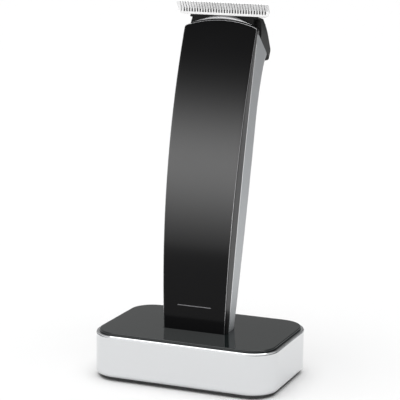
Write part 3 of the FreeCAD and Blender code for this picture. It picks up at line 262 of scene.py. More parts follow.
def shader(name: str, **constants: object) -> tuple[bpy.types.Material, bpy.types.NodeTree,
                                                   bpy.types.Node]:
    """A new material with its Principled shader.

    Args:
        name: The material's name.
        constants: Input names, with underscores for spaces, and values set on the shader.

    Returns:
        The material, its tree and the shader node.
    """
    made = bpy.data.materials.new(name)
    made.use_nodes = True
    tree = made.node_tree
    surface = tree.nodes["Principled BSDF"]
    for label, value in constants.items():
        surface.inputs[label.replace("_", " ")].default_value = value
    return made, tree, surface


def bump(tree: bpy.types.NodeTree, surface: bpy.types.Node, height: object, strength: float,
         distance: float) -> None:
    """Feed a height into the shader's Normal through a Bump node."""
    relief = node(tree, "ShaderNodeBump", inputs={"Strength": strength, "Distance": distance})
    link(tree, (height, relief.inputs["Height"]), (relief.outputs[0], surface.inputs["Normal"]))


# ---- finishes


@dataclass(frozen=True)
class Polished:
    """Polished plastic or lacquer, with faint smudges and scratches from handling."""

    name: str
    colour: Colour
    roughness: float = 0.08
    ior: float = 1.5
    smudge: float = 0.03

    def material(self) -> bpy.types.Material:
        """Build the material."""
        made, tree, surface = shader(self.name, Base_Color=(*self.colour, 1.0), IOR=self.ior)
        marks = group(tree, Surface.HANDLING, Roughness=self.roughness, Smudge=self.smudge,
                      Scratch=0.06)
        link(tree, (marks.outputs["Roughness"], surface.inputs["Roughness"]))
        return made


@dataclass(frozen=True)
class Moulded:
    """Moulded plastic or rubber with a fine grain."""

    name: str
    colour: Colour
    roughness: float = 0.42
    scale: float = 3000.0
    relief: float = 0.12
    variation: float = 0.12
    metallic: float = 0.0
    ior: float = 1.5

    def material(self) -> bpy.types.Material:
        """Build the material."""
        made, tree, surface = shader(self.name, Metallic=self.metallic, IOR=self.ior)
        grain = group(tree, Surface.GRAIN, Scale=self.scale, Colour=(*self.colour, 1.0),
                      Variation=self.variation, Roughness=self.roughness)
        link(tree, (grain.outputs["Colour"], surface.inputs["Base Color"]),
             (grain.outputs["Roughness"], surface.inputs["Roughness"]))
        bump(tree, surface, grain.outputs["Height"], self.relief, GRAIN_DEPTH)
        return made


@dataclass(frozen=True)
class Metal:
    """Metal with fine brushed lines along one direction."""

    name: str
    colour: Colour
    roughness: float = 0.3
    stretch: Colour = (20.0, 20.0, 6000.0)
    relief: float = 0.1
    variation: float = 0.12
    metallic: float = 1.0

    def material(self) -> bpy.types.Material:
        """Build the material."""
        made, tree, surface = shader(self.name, Metallic=self.metallic)
        lines = group(tree, Surface.BRUSHED, Stretch=self.stretch, Colour=(*self.colour, 1.0),
                      Variation=self.variation, Roughness=self.roughness)
        link(tree, (lines.outputs["Colour"], surface.inputs["Base Color"]),
             (lines.outputs["Roughness"], surface.inputs["Roughness"]))
        bump(tree, surface, lines.outputs["Height"], self.relief, LINE_DEPTH)
        return made


@dataclass(frozen=True)
class Glow:
    """Clear lens over a small lamp."""

    name: str
    colour: Colour
    strength: float

    def material(self) -> bpy.types.Material:
        """Build the material."""
        made, tree, surface = shader(self.name, Roughness=0.15, IOR=1.45,
                                     Emission_Color=(*self.colour, 1.0),
                                     Emission_Strength=self.strength)
        grain = group(tree, Surface.GRAIN, Scale=900.0, Colour=(*self.colour, 1.0),
                      Variation=0.2, Roughness=0.15)
        link(tree, (grain.outputs["Colour"], surface.inputs["Base Color"]))
        return made


FINISHES = {
    "cover": Polished("cover_gloss", (0.0012, 0.0012, 0.0014), 0.12, 1.22, 0.02),
    "top": Polished("top_gloss", (0.006, 0.009, 0.009), 0.03, 1.5, 0.02),
    "satin_black": Moulded("black_satin", (0.010, 0.010, 0.011), 0.30, 4200.0, 0.05,
                           ior=1.27),
    "neck": Moulded("black_neck", (0.009, 0.009, 0.009), 0.42, 4200.0, 0.05, ior=1.22),
    "silver": Moulded("silver_lacquer", (0.35, 0.36, 0.37), 0.58, 6000.0, 0.05, 0.04, 0.97),
    "band": Metal("band_metal", (0.70, 0.71, 0.72), 0.13, (60.0, 60.0, 9000.0), 0.02, 0.04),
    "trim": Metal("trim_metal", (0.50, 0.50, 0.51), 0.22, (900.0, 900.0, 900.0), 0.03, 0.05),
    "blade": Metal("blade_steel", (0.88, 0.88, 0.88), 0.42, (40.0, 5000.0, 5000.0), 0.08, 0.12,
                   0.6),
    # The moving cutter is steel darkened far below the fixed blade's steel: painted shade for the
    # slots between the blades.
    "cutter": Metal("cutter_steel", (0.16, 0.16, 0.165), 0.35, (40.0, 5000.0, 5000.0), 0.08, 0.15),
    "matte_black": Moulded("black_matte", (0.02, 0.02, 0.02), 0.5, 1800.0, 0.3),
    "rubber": Moulded("foot_rubber", (0.03, 0.03, 0.03), 0.75, 1500.0, 0.4),
    "screw": Metal("screw_steel", (0.55, 0.55, 0.56), 0.35, (2500.0, 2500.0, 400.0), 0.1),
    "ballast": Metal("ballast_steel", (0.38, 0.37, 0.36), 0.5, (300.0, 300.0, 4000.0), 0.3, 0.3),
    "brass": Metal("contact_brass", (0.80, 0.62, 0.30), 0.25, (1800.0, 1800.0, 300.0), 0.05),
    "spring": Metal("spring_steel", (0.60, 0.60, 0.62), 0.28, (800.0, 800.0, 5000.0), 0.05),
    "board": Moulded("board_green", (0.02, 0.13, 0.06), 0.35, 900.0, 0.1, 0.3),
    "chip": Moulded("chip_black", (0.02, 0.02, 0.02), 0.55, 3500.0, 0.3),
    "frame": Moulded("frame_plastic", (0.50, 0.50, 0.48), 0.5, 1400.0, 0.2),
    "cell": Polished("cell_wrap", (0.05, 0.22, 0.12), 0.25, 1.5, 0.1),
    "motor": Metal("motor_steel", (0.62, 0.62, 0.63), 0.32, (500.0, 500.0, 5000.0), 0.05),
    "motor_cap": Moulded("motor_cap_white", (0.72, 0.71, 0.66), 0.45, 1600.0, 0.15),
    "crank": Moulded("crank_plastic", (0.78, 0.77, 0.73), 0.4, 2200.0, 0.1),
    "lens": Glow("lens_clear", (0.45, 0.75, 0.50), 0.6),
    "mark": Metal("mark_metal", (0.24, 0.24, 0.25), 0.5, (900.0, 900.0, 900.0), 0.03),
    "bead": Metal("bead_metal", (0.92, 0.93, 0.94), 0.16, (900.0, 900.0, 900.0), 0.02, 0.04),
    "rim": Metal("rim_metal", (0.42, 0.42, 0.43), 0.2, (900.0, 900.0, 900.0), 0.02, 0.04),
    "lead_red": Polished("lead_red", (0.45, 0.02, 0.02), 0.35, 1.45, 0.1),
    "lead_black": Polished("lead_black", (0.01, 0.01, 0.01), 0.35, 1.45, 0.1),
    "plate": Moulded("plate_grey", (0.30, 0.30, 0.31), 0.35, 1200.0, 0.1),
}
"""Every finish of the object, by a short name."""

CORNERS = ("front_left", "front_right", "rear_left", "rear_right")
NODE_FINISH = {
    "band": ["base_band"],
    "top": ["base_top_plate"],
    "cover": ["front_cover"],
    "satin_black": ["front_shell", "bottom_cap", "switch_knob"],
    "neck": ["head_carrier"],
    "silver": ["rear_housing"],
    "trim": ["shoulder_trim"],
    "blade": ["fixed_blade"],
    "cutter": ["moving_blade"],
    "matte_black": ["base_tray", "bottom_plate", "contact_block", "charging_inlet"],
    "rubber": ["foot_middle", *(f"foot_{corner}" for corner in CORNERS)],
    "screw": ["cap_screw_left", "cap_screw_right", "blade_screw_left", "blade_screw_right",
              *(f"base_screw_{corner}" for corner in CORNERS)],
    "ballast": ["ballast_left", "ballast_right"],
    "brass": ["contact_pin_left", "contact_pin_right", "contact_pad_left", "contact_pad_right",
              "inlet_contact", "motor_bush"],
    "spring": ["contact_spring_left", "contact_spring_right", "blade_spring", "head_clip_left",
               "head_clip_right", "battery_strip"],
    "board": ["charging_board", "circuit_board"],
    "chip": ["charge_chip", "motor_driver", "switch_body"],
    "frame": ["inner_frame"],
    "cell": ["battery_cell_left", "battery_cell_right"],
    "motor": ["motor_can", "motor_shaft"],
    "motor_cap": ["motor_end_cap"],
    "crank": ["crank", "drive_fork"],
    "lens": ["status_lens"],
}
"""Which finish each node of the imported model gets."""


class Paintbox:
    """Makes each material once and puts it on meshes."""

    def __init__(self) -> None:
        """Build the shared node groups."""
        build_grain_group()
        build_brushed_group()
        build_handling_group()
        self.made: dict[str, bpy.types.Material] = {}

    def get(self, name: str) -> bpy.types.Material:
        """The material of a finish, made the first time that it is asked for."""
        if name not in self.made:
            self.made[name] = FINISHES[name].material()
        return self.made[name]

    def dress(self, piece: bpy.types.Object, name: str) -> None:
        """Give a piece one finish all over."""
        piece.data.materials.clear()
        piece.data.materials.append(self.get(name))

    def dress_nodes(self, nodes: dict[str, bpy.types.Object]) -> None:
        """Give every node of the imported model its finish."""
        for finish, names in NODE_FINISH.items():
            for name in names:
                self.dress(nodes[name], finish)
                LOG.info("node %s: %s", name, finish)


# ---- surfaces worked out with numpy


@dataclass(frozen=True)
class Handset:
    """Outline of the handset in its own drawing frame, in millimetres, as the drawing has it."""

    lean: float = 10.0
    seat_y: float = -0.5
    seat_z: float = 11.0
    face_radius: float = 310.0
    face_middle: float = 72.0
    face_front: float = 16.2
    cover_top: float = 149.1
    cap_radius: float = 48.9
    bottom_half: float = 14.36
    top_half: float = 17.4
    bulge: float = 0.63

    def place(self, points: np.ndarray) -> np.ndarray:
        """Carry points from the drawing frame to the row frame.

        Args:
            points: An array whose last axis is x, y, z in millimetres.

        Returns:
            The same points in metres: turned about X by the lean, then moved to the seat.
        """
        turn = math.radians(self.lean)
        x, y, z = points[..., 0], points[..., 1], points[..., 2]
        return MM * np.stack([x, self.seat_y + y * math.cos(turn) + z * math.sin(turn),
                              self.seat_z - y * math.sin(turn) + z * math.cos(turn)], axis=-1)

    def face(self, z: np.ndarray) -> np.ndarray:
        """y of the front face: a circle that bulges forward, at the heights z."""
        return (self.face_radius - self.face_front
                - np.sqrt(self.face_radius ** 2 - (z - self.face_middle) ** 2))

    def corner_height(self) -> float:
        """Height of the cover's upper corners, where its top arc meets its sides."""
        return self.cover_top - self.cap_radius + math.sqrt(self.cap_radius ** 2
                                                            - self.top_half ** 2)

    def half_width(self, z: np.ndarray) -> np.ndarray:
        """Half width at the heights z: a straight taper with a slight parabolic bulge."""
        share = z / self.corner_height()
        return (self.bottom_half + (self.top_half - self.bottom_half) * share
                + 4.0 * self.bulge * share * (1.0 - share))

    def outline(self, count: int, corner: float) -> np.ndarray:
        """The cover's front outline as a closed ring of (x, z) points, anticlockwise.

        Args:
            count: Number of points; they are spaced evenly along the ring.
            corner: Radius that rounds the four corners.

        Returns:
            An array of shape (count, 2).
        """
        top = self.corner_height()
        rise = np.linspace(0.0, top, 400)
        right = np.stack([self.half_width(rise), rise], axis=1)
        across = np.linspace(self.top_half, -self.top_half, 200)[1:-1]
        cap = np.stack([across, self.cover_top - self.cap_radius
                        + np.sqrt(self.cap_radius ** 2 - across ** 2)], axis=1)
        left = right[::-1] * (-1.0, 1.0)
        across = np.linspace(-self.bottom_half, self.bottom_half, 150)[1:-1]
        foot = np.stack([across, np.zeros_like(across)], axis=1)
        ring = even_ring(np.concatenate([right, cap, left, foot]), 1200)
        spacing = np.linalg.norm(ring[1] - ring[0])
        return even_ring(blur_ring(ring, corner / spacing), count)


def even_ring(ring: np.ndarray, count: int) -> np.ndarray:
    """Space a closed ring of points evenly by arc length.

    Args:
        ring: Points of shape (n, 2).
        count: How many points to give back.

    Returns:
        Points of shape (count, 2).
    """
    closed = np.concatenate([ring, ring[:1]])
    run = np.concatenate([[0.0], np.cumsum(np.linalg.norm(np.diff(closed, axis=0), axis=1))])
    wanted = np.linspace(0.0, run[-1], count, endpoint=False)
    return np.stack([np.interp(wanted, run, closed[:, axis]) for axis in (0, 1)], axis=1)


def blur_ring(ring: np.ndarray, width: float) -> np.ndarray:
    """Round a ring's corners: each point becomes a bell-weighted mean of its neighbours.

    Args:
        ring: Evenly spaced points of shape (n, 2).
        width: Spread of the bell curve, in points.

    Returns:
        The rounded ring, of the same shape.
    """
    reach = np.fft.fftfreq(len(ring))
    weight = np.exp(-2.0 * (math.pi * reach * width * 0.6) ** 2)
    return np.stack([np.fft.ifft(np.fft.fft(ring[:, axis]) * weight).real for axis in (0, 1)],
                    axis=1)


def inward(ring: np.ndarray) -> np.ndarray:
    """Unit normals of an anticlockwise ring of (x, z) points, pointing inwards."""
    along = np.roll(ring, -1, axis=0) - np.roll(ring, 1, axis=0)
    along /= np.linalg.norm(along, axis=1)[:, None]
    return np.stack([-along[:, 1], along[:, 0]], axis=1)


def grid_faces(rows: int, columns: int, closed: bool = True) -> np.ndarray:
    """Quads of a grid of vertices numbered row by row.

    Args:
        rows: Number of rows.
        columns: Number of vertices in each row.
        closed: Whether the last column joins the first one.

    Returns:
        Vertex numbers, of shape (quads, 4).
    """
    row = np.arange(rows - 1)[:, None]
    column = np.arange(columns if closed else columns - 1)[None, :]
    after = (column + 1) % columns
    first = row * columns + column
    return np.stack([first, row * columns + after, (row + 1) * columns + after,
                     (row + 1) * columns + column], axis=-1).reshape(-1, 4)


def make_piece(name: str, grid: np.ndarray, closed: bool = True,
               sharp: float = 50.0) -> bpy.types.Object:
    """Turn a grid of points into a smooth closed mesh.

    Args:
        name: The piece's name.
        grid: Points of shape (rows, columns, 3), in metres in the row frame.
        closed: Whether the columns run round a ring; if not, the open ends are filled.
        sharp: Edges that turn by more than this angle, in degrees, stay sharp.

    Returns:
        The new object, with its normals pointing outwards.
    """
    rows, columns = grid.shape[:2]
    mesh = bpy.data.meshes.new(name)
    mesh.from_pydata(grid.reshape(-1, 3).tolist(), [],
                     grid_faces(rows, columns, closed).tolist())
    shape = bmesh.new()
    shape.from_mesh(mesh)
    bmesh.ops.remove_doubles(shape, verts=shape.verts, dist=MERGE)
    bmesh.ops.dissolve_degenerate(shape, edges=shape.edges, dist=MERGE)
    bmesh.ops.recalc_face_normals(shape, faces=shape.faces)
    shape.to_mesh(mesh)
    shape.free()
    mesh.shade_smooth()
    mesh.set_sharp_from_angle(angle=math.radians(sharp))
    made = put(name, mesh)
    if not closed:
        fill_ends(made)
    return made


def fill_ends(piece: bpy.types.Object) -> None:
    """Close the open ends of a sleeve and point all its normals outwards."""
    shape = bmesh.new()
    shape.from_mesh(piece.data)
    rims = [edge for edge in shape.edges if edge.is_boundary]
    bmesh.ops.holes_fill(shape, edges=rims, sides=0)
    bmesh.ops.recalc_face_normals(shape, faces=shape.faces)
    shape.to_mesh(piece.data)
    shape.free()


def box_grid(half: Sequence[float], edge: float, count: int = 9,
             steps: int = 5) -> np.ndarray:
    """A rounded box about the origin, as rings from its lower pole to its upper pole.

    Each ring is a rounded rectangle; up the sides the ring keeps its size, and over the edges it
    draws in by edge times one minus the sine of a quarter turn.

    Args:
        half: Half sizes in x, y and z.
        edge: Radius of every edge.
        count: Points on each quarter round of a ring.
        steps: Rings over each edge.

    Returns:
        Points of shape (rows, columns, 3).
    """
    quarter = np.linspace(0.0, math.pi / 2, count)
    turn = np.concatenate([quarter + k * math.pi / 2 for k in range(4)])
    corner = np.repeat([[1, 1], [-1, 1], [-1, -1], [1, -1]], count, axis=0)
    over = np.linspace(0.0, math.pi / 2, steps)
    shrink = np.concatenate([[edge], edge * (1 - np.sin(over)), edge * (1 - np.sin(over[::-1])),
                             [edge]])
    height = np.concatenate([[-half[2]], -half[2] + edge * (1 - np.cos(over)),
                             half[2] - edge * (1 - np.cos(over[::-1])), [half[2]]])
    scale = np.concatenate([[0.0], np.ones(2 * steps), [0.0]])
    reach = np.array([half[0] - edge, half[1] - edge])
    round_part = np.stack([np.cos(turn), np.sin(turn)], axis=1)[None] * (
        edge - shrink)[:, None, None]
    ring = (corner * reach)[None] + round_part
    ring = ring * scale[:, None, None]
    tall = np.broadcast_to(height[:, None, None], (len(height), len(turn), 1))
    return np.concatenate([ring, tall], axis=-1)


def tube_grid(path: np.ndarray, radius: float, count: int = 10) -> np.ndarray:
    """A round tube along a path of points, with both ends closed to a pole.

    At each point the ring lies across the path; its two axes are the cross products of the
    path's direction with a fixed side axis.

    Args:
        path: Points of shape (n, 3).
        radius: The tube's radius.
        count: Points round the tube.

    Returns:
        Points of shape (n + 2, count, 3).
    """
    along = np.gradient(path, axis=0)
    along /= np.linalg.norm(along, axis=1)[:, None]
    aside = np.cross(along, np.array(SIDE_AXIS))
    aside /= np.linalg.norm(aside, axis=1)[:, None]
    across = np.cross(along, aside)
    turn = np.linspace(0, 2 * math.pi, count, endpoint=False)
    ring = (np.cos(turn)[None, :, None] * aside[:, None, :]
            + np.sin(turn)[None, :, None] * across[:, None, :])
    tube = path[:, None, :] + radius * ring
    caps = [np.broadcast_to(end, (1, count, 3)) for end in (path[0], path[-1])]
    return np.concatenate([caps[0], tube, caps[1]])


def smooth_path(points: Sequence[Sequence[float]], count: int = 40) -> np.ndarray:
    """A smooth path through a few points.

    Between each pair of points it is a cubic in the share of the way, whose slope at a point is
    half the step from the point before to the point after (a Catmull-Rom curve).

    Args:
        points: The points to pass.
        count: How many points to give back.

    Returns:
        Points of shape (count, 3).
    """
    knots = np.asarray(points, float)
    share = np.linspace(0, len(knots) - 1, count)
    low = np.minimum(share.astype(int), len(knots) - 2)
    part = share - low
    before, after = knots[np.maximum(low - 1, 0)], knots[np.minimum(low + 2, len(knots) - 1)]
    first, second = knots[low], knots[low + 1]
    t = part[:, None]
    return 0.5 * (2 * first + (second - before) * t
                  + (2 * before - 5 * first + 4 * second - after) * t ** 2
                  + (3 * first - before - 3 * second + after) * t ** 3)


# ---- sub-assemblies


def fit(paints: Paintbox, piece: bpy.types.Object, finish: str, body: str,
        stands_for: str = "") -> bpy.types.Object:
    """Dress a new piece and let it ride on a body.

    Args:
        paints: Where the finish comes from.
        piece: The new piece.
        finish: Short name of its finish.
        body: The body that it rides on.
        stands_for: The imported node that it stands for, if any.

    Returns:
        The same piece.
    """
    paints.dress(piece, finish)
    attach(piece, body)
    if stands_for:
        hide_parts(stands_for)
    LOG.info("piece %s: %s", piece.name, finish)
    return piece


@dataclass
class FrontCover:
    """Glossy front cover with finely rounded edges, and the small mark near its foot."""

    form: Handset
    paints: Paintbox
    thick: float = 1.2
    edge: float = 0.45
    corner: float = 1.2
    ring_points: int = 480
    edge_steps: int = 7
    fill_steps: int = 14
    mark_height: float = 20.5
    mark_half: float = 8.0
    mark_rise: float = 0.05
    mark_end: float = 0.2
    gap: float = 0.02
    back_edge: float = 0.3
    spine_ends: tuple[float, float] = (13.0, 17.0)

    def shell(self) -> bpy.types.Object:
        """The cover as one closed surface.

        Two parameters run over it: round the front outline, and from the middle of the back over
        the edge to the middle of the front.  The outline draws in by edge times one minus the
        cosine over the rounded front edge, and then closes onto a line up the middle.  The depth
        is counted back from the curved front face.
        """
        ring = self.form.outline(self.ring_points, self.corner)
        normal = inward(ring)
        spine = np.stack([np.zeros(len(ring)),
                          np.clip(ring[:, 1], self.spine_ends[0],
                                  self.form.cover_top - self.spine_ends[1])], axis=1)
        over = np.linspace(0.0, math.pi / 2, self.edge_steps)
        inset = np.concatenate([np.full(2, self.gap),
                                self.gap + self.edge * (1 - np.cos(over))])
        depth = np.concatenate([[self.thick], [self.edge + self.back_edge],
                                self.edge * (1 - np.sin(over))])
        rim = ring[None] + normal[None] * inset[:, None, None]
        fill = np.linspace(0.0, 1.0, self.fill_steps)[1:, None, None]
        front = rim[-1][None] * (1 - fill) + spine[None] * fill
        back = (rim[0][None] * (1 - fill) + spine[None] * fill)[::-1]
        flat = np.concatenate([back, rim, front])
        deep = np.concatenate([np.full(len(back), self.thick), depth, np.zeros(len(front))])
        height = flat[..., 1]
        y = self.form.face(height) + deep[:, None]
        grid = np.stack([flat[..., 0], y, height], axis=-1)
        return make_piece("cover_shell", self.form.place(grid))

    def mark(self) -> bpy.types.Object:
        """A plain inlaid bar with round ends, the only mark on the cover.

        Its rings run from the middle outwards and over a rounded rim; its face follows the
        cover's curve and stands a hair above it.
        """
        turn = np.linspace(0, 2 * math.pi, 64, endpoint=False)
        end = self.mark_end
        run = self.mark_half - end
        x = np.sign(np.cos(turn)) * run + end * np.cos(turn)
        z = end * np.sin(turn)
        share = np.array([0.0, 0.5, 0.85, 1.0, 1.0])
        lift = np.array([1.0, 1.0, 0.9, 0.3, -2.0]) * self.mark_rise
        height = self.mark_height + share[:, None] * z[None]
        y = self.form.face(height) - lift[:, None]
        grid = np.stack([share[:, None] * x[None] + 0 * height, y, height], axis=-1)
        under = grid[-1:].copy()
        under[..., 0] = 0.0
        under[..., 2] = self.mark_height
        under[..., 1] = self.form.face(under[..., 2]) + 0.1
        return make_piece("cover_mark", self.form.place(np.concatenate([grid, under])))

    def build(self) -> bpy.types.Object:
        """Make the cover and its mark, hide the plain node, and give back the cover."""
        shell = fit(self.paints, self.shell(), "cover", "handset", "front_cover")
        fit(self.paints, self.mark(), "mark", "handset")
        return shell


@dataclass
class ShellTrim:
    """Fine bright beads along the housing's front edges and round the cover, and the crescent."""

    form: Handset
    paints: Paintbox
    parting_radius: float = 694.0
    parting_middle: float = 84.2
    parting_front: float = 9.15
    bead: float = 0.42
    rim: float = 0.17
    rim_inset: float = 0.12
    rim_depth: float = 0.20
    bead_bottom: float = 9.5
    bead_top: float = 139.0
    trim_half: float = 15.0
    trim_lift: float = 0.45
    trim_rise: float = 1.9
    trim_front: float = -6.3
    trim_back: float = -4.5
    trim_wall: float = 0.1
    trim_tip: float = 0.05
    rim_points: int = 720
    rim_corner: float = 1.2

    def parting(self, z: np.ndarray) -> np.ndarray:
        """y of the line where the silver housing meets the black shell, at the heights z."""
        return (self.parting_radius - self.parting_front
                - np.sqrt(self.parting_radius ** 2 - (z - self.parting_middle) ** 2))

    def housing_bead(self, name: str, sign: int) -> None:
        """A tube that follows the housing's front edge, its centre just inside the corner."""
        z = np.linspace(self.bead_bottom, self.bead_top, 160)
        inset = self.bead - 0.05
        path = np.stack([sign * (self.form.half_width(z) - inset), self.parting(z) + inset, z],
                        axis=1)
        piece = make_piece(name, self.form.place(tube_grid(path, self.bead, 14)))
        fit(self.paints, piece, "bead", "handset")

    def cover_rim(self) -> None:
        """A thin tube round the cover's edge, a ring of circles along its front outline.

        Each circle lies across the ring, in the plane of the inward normal and the depth.
        """
        ring = self.form.outline(self.rim_points, self.rim_corner)
        normal = inward(ring)
        turn = np.linspace(0, 2 * math.pi, 12, endpoint=False)
        out = self.rim * np.cos(turn)[:, None, None]
        flat = ring[None] + normal[None] * (self.rim + self.rim_inset + out)
        deep = self.rim_depth + self.rim * np.sin(turn)[:, None] * np.ones(len(ring))[None]
        y = self.form.face(flat[..., 1]) + deep
        grid = np.stack([flat[..., 0], y, flat[..., 1]], axis=-1)
        grid = np.concatenate([grid, grid[:1]])
        piece = make_piece("cover_rim", self.form.place(grid))
        fit(self.paints, piece, "rim", "handset")

    def crescent(self) -> None:
        """The silver crescent: a crowned strip between two arcs that meet at its pointed ends.

        Along it, x runs from end to end.  Across it, the height blends from the lower arc to the
        upper one, and the depth goes back from the front to the neck as a quarter wave.
        """
        x = np.linspace(-self.trim_half, self.trim_half, 121)
        low = (self.form.cover_top + self.trim_lift - self.form.cap_radius
               + np.sqrt(self.form.cap_radius ** 2 - x ** 2))
        tall = self.trim_rise * (1 - (x / self.trim_half) ** 2) + self.trim_tip
        across = np.linspace(0.0, 1.0, 15)[:, None]
        height = low[None] + across * tall[None]
        depth = self.trim_front + (self.trim_back - self.trim_front) * (
            1 - np.cos(across * math.pi / 2)) * np.ones_like(x)[None]
        front = np.stack([np.broadcast_to(x, height.shape), depth, height], axis=-1)
        back = front[::-1].copy()
        back[..., 1] = self.trim_back + self.trim_wall
        loop = np.concatenate([front, back, front[:1]])
        piece = make_piece("shoulder_crescent", self.form.place(loop), closed=False)
        fit(self.paints, piece, "trim", "handset", "shoulder_trim")

    def build(self) -> None:
        """Make both beads, the cover's rim and the crescent."""
        self.housing_bead("housing_bead_left", -1)
        self.housing_bead("housing_bead_right", 1)
        self.cover_rim()
        self.crescent()


@dataclass
class SlotShadeStrip:
    """Black strip between the blades, a dark sheet that stands in for the shade seen through the
    slots of the fixed blade.
    """

    form: Handset
    paints: Paintbox
    half: Sequence[float] = (20.0, 0.2, 0.85)
    place: Sequence[float] = (0.0, -4.42, 152.98)
    edge: float = 0.12

    def build(self) -> None:
        """Make the strip of painted shade as a rounded bar."""
        grid = box_grid(self.half, self.edge, 9, 4) + np.array(self.place)
        # A dark sheet where there is only shade: painted shade for the blade slots.
        piece = make_piece("slot_shade_strip", self.form.place(grid))
        fit(self.paints, piece, "neck", "head")


@dataclass
class PowerSwitch:
    """Thumb slide on the back, with ribs across it, and the stem that carries it."""

    form: Handset
    paints: Paintbox
    half_width: float = 5.0
    bottom: float = 64.0
    length: float = 12.0
    under: float = 7.62
    thick: float = 1.6
    ribs: int = 6
    rib_height: float = 0.32
    edge: float = 0.55
    fade_width: float = 1.1
    dish_depth: float = 0.35
    stem_half: Sequence[float] = (1.3, 1.0, 1.5)
    stem_edge: float = 0.2
    stem_sunk: float = 0.9

    def knob(self) -> bpy.types.Object:
        """The slide: a rounded block whose outer face is dished and carries a row of ribs.

        The face's height is a shallow bowl plus a raised cosine repeated along the slide, faded
        out towards the rim by a smooth step.
        """
        across = np.linspace(-1.0, 1.0, 41)
        along = np.linspace(-1.0, 1.0, 161)
        u, v = np.meshgrid(across, along, indexing="ij")
        half_long = self.length / 2
        rim = np.minimum((1 - np.abs(u)) * self.half_width, (1 - np.abs(v)) * half_long)
        near = np.clip(rim / self.fade_width, 0, 1)
        fade = near ** 2 * (3 - 2 * near)
        wave = 0.5 + 0.5 * np.cos(v * math.pi * self.ribs * 1.25)
        dish = -self.dish_depth * np.clip(1 - v ** 2, 0, 1)
        fall = self.edge * (1 - np.sqrt(np.clip(1 - (1 - np.clip(rim / self.edge, 0, 1)) ** 2,
                                                0, 1)))
        top = self.thick - self.rib_height - fall + fade * (dish + self.rib_height * wave)
        x = u * self.half_width
        z = self.bottom + half_long * (1 + v)
        front = np.stack([x, self.under + top, z], axis=-1)
        back = np.stack([x, np.full_like(x, self.under), z], axis=-1)
        sheet = np.concatenate([front, back[::-1]], axis=0)
        loop = np.concatenate([sheet, sheet[:1]], axis=0)
        return make_piece("switch_slide", self.form.place(loop), closed=False, sharp=65.0)

    def stem(self) -> bpy.types.Object:
        """The short stem under the slide."""
        middle = np.array([0.0, self.under - self.stem_sunk, self.bottom + self.length / 2])
        grid = box_grid(self.stem_half, self.stem_edge) + middle
        return make_piece("switch_stem", self.form.place(grid))

    def build(self) -> None:
        """Make the slide and its stem, and hide the plain node."""
        fit(self.paints, self.knob(), "satin_black", "switch", "switch_knob")
        fit(self.paints, self.stem(), "satin_black", "switch")


@dataclass
class Wiring:
    """The motor's insulated leads inside the handset."""

    form: Handset
    paints: Paintbox
    radius: float = 0.45

    route: Sequence[tuple[float, float, float]] = (
        (7.0, 3.9, 60.0), (8.0, 4.2, 72.0), (7.5, 4.2, 82.0), (5.0, 3.4, 87.0), (4.0, 1.5, 87.2))

    def lead(self, finish: str, sign: int) -> None:
        """One lead: a round tube along the route, on the side of x that the sign gives."""
        path = smooth_path(np.array(self.route) * (sign, 1.0, 1.0))
        piece = make_piece(f"motor_{finish}", self.form.place(tube_grid(path, self.radius)))
        fit(self.paints, piece, finish, "handset")

    def build(self) -> None:
        """The two leads, one each side, from beside the board up to the motor."""
        self.lead("lead_red", -1)
        self.lead("lead_black", 1)


@dataclass
class Underside:
    """Plain rating plate, without any text, on the base's underside."""

    paints: Paintbox
    half: Sequence[float] = (17.0, 6.0, 0.05)
    place: Sequence[float] = (0.0, 13.0, 0.58)
    edge: float = 0.045

    def build(self) -> None:
        """Make the plate as a thin rounded block."""
        grid = box_grid(self.half, self.edge, 9, 3) + np.array(self.place)
        piece = make_piece("rating_plate", grid * MM)
        fit(self.paints, piece, "plate", "base")


# ---- stage and camera


def bell(tree: bpy.types.NodeTree, height: object, middle: float, spread: float) -> object:
    """A bell curve of a height about a middle: e to the minus square of their gap over spread.

    Args:
        tree: The node tree to add to.
        height: The socket that gives the height.
        middle: Where the curve is 1.
        spread: The gap at which it has fallen to 0.37.

    Returns:
        The output socket.
    """
    off = maths(tree, "SUBTRACT", {1: middle})
    share = maths(tree, "DIVIDE", {1: spread})
    square = maths(tree, "MULTIPLY")
    minus = maths(tree, "MULTIPLY", {1: -1.0})
    curve = maths(tree, "EXPONENT")
    link(tree, (height, off.inputs[0]), (off.outputs[0], share.inputs[0]),
         (share.outputs[0], square.inputs[0]), (share.outputs[0], square.inputs[1]),
         (square.outputs[0], minus.inputs[0]), (minus.outputs[0], curve.inputs[0]))
    return curve.outputs[0]


def collect(name: str, pieces: Sequence[bpy.types.Object]) -> bpy.types.Collection:
    """A collection of pieces, for a light that is linked to them alone."""
    made = bpy.data.collections.new(name)
    for piece in pieces:
        made.objects.link(piece)
    return made


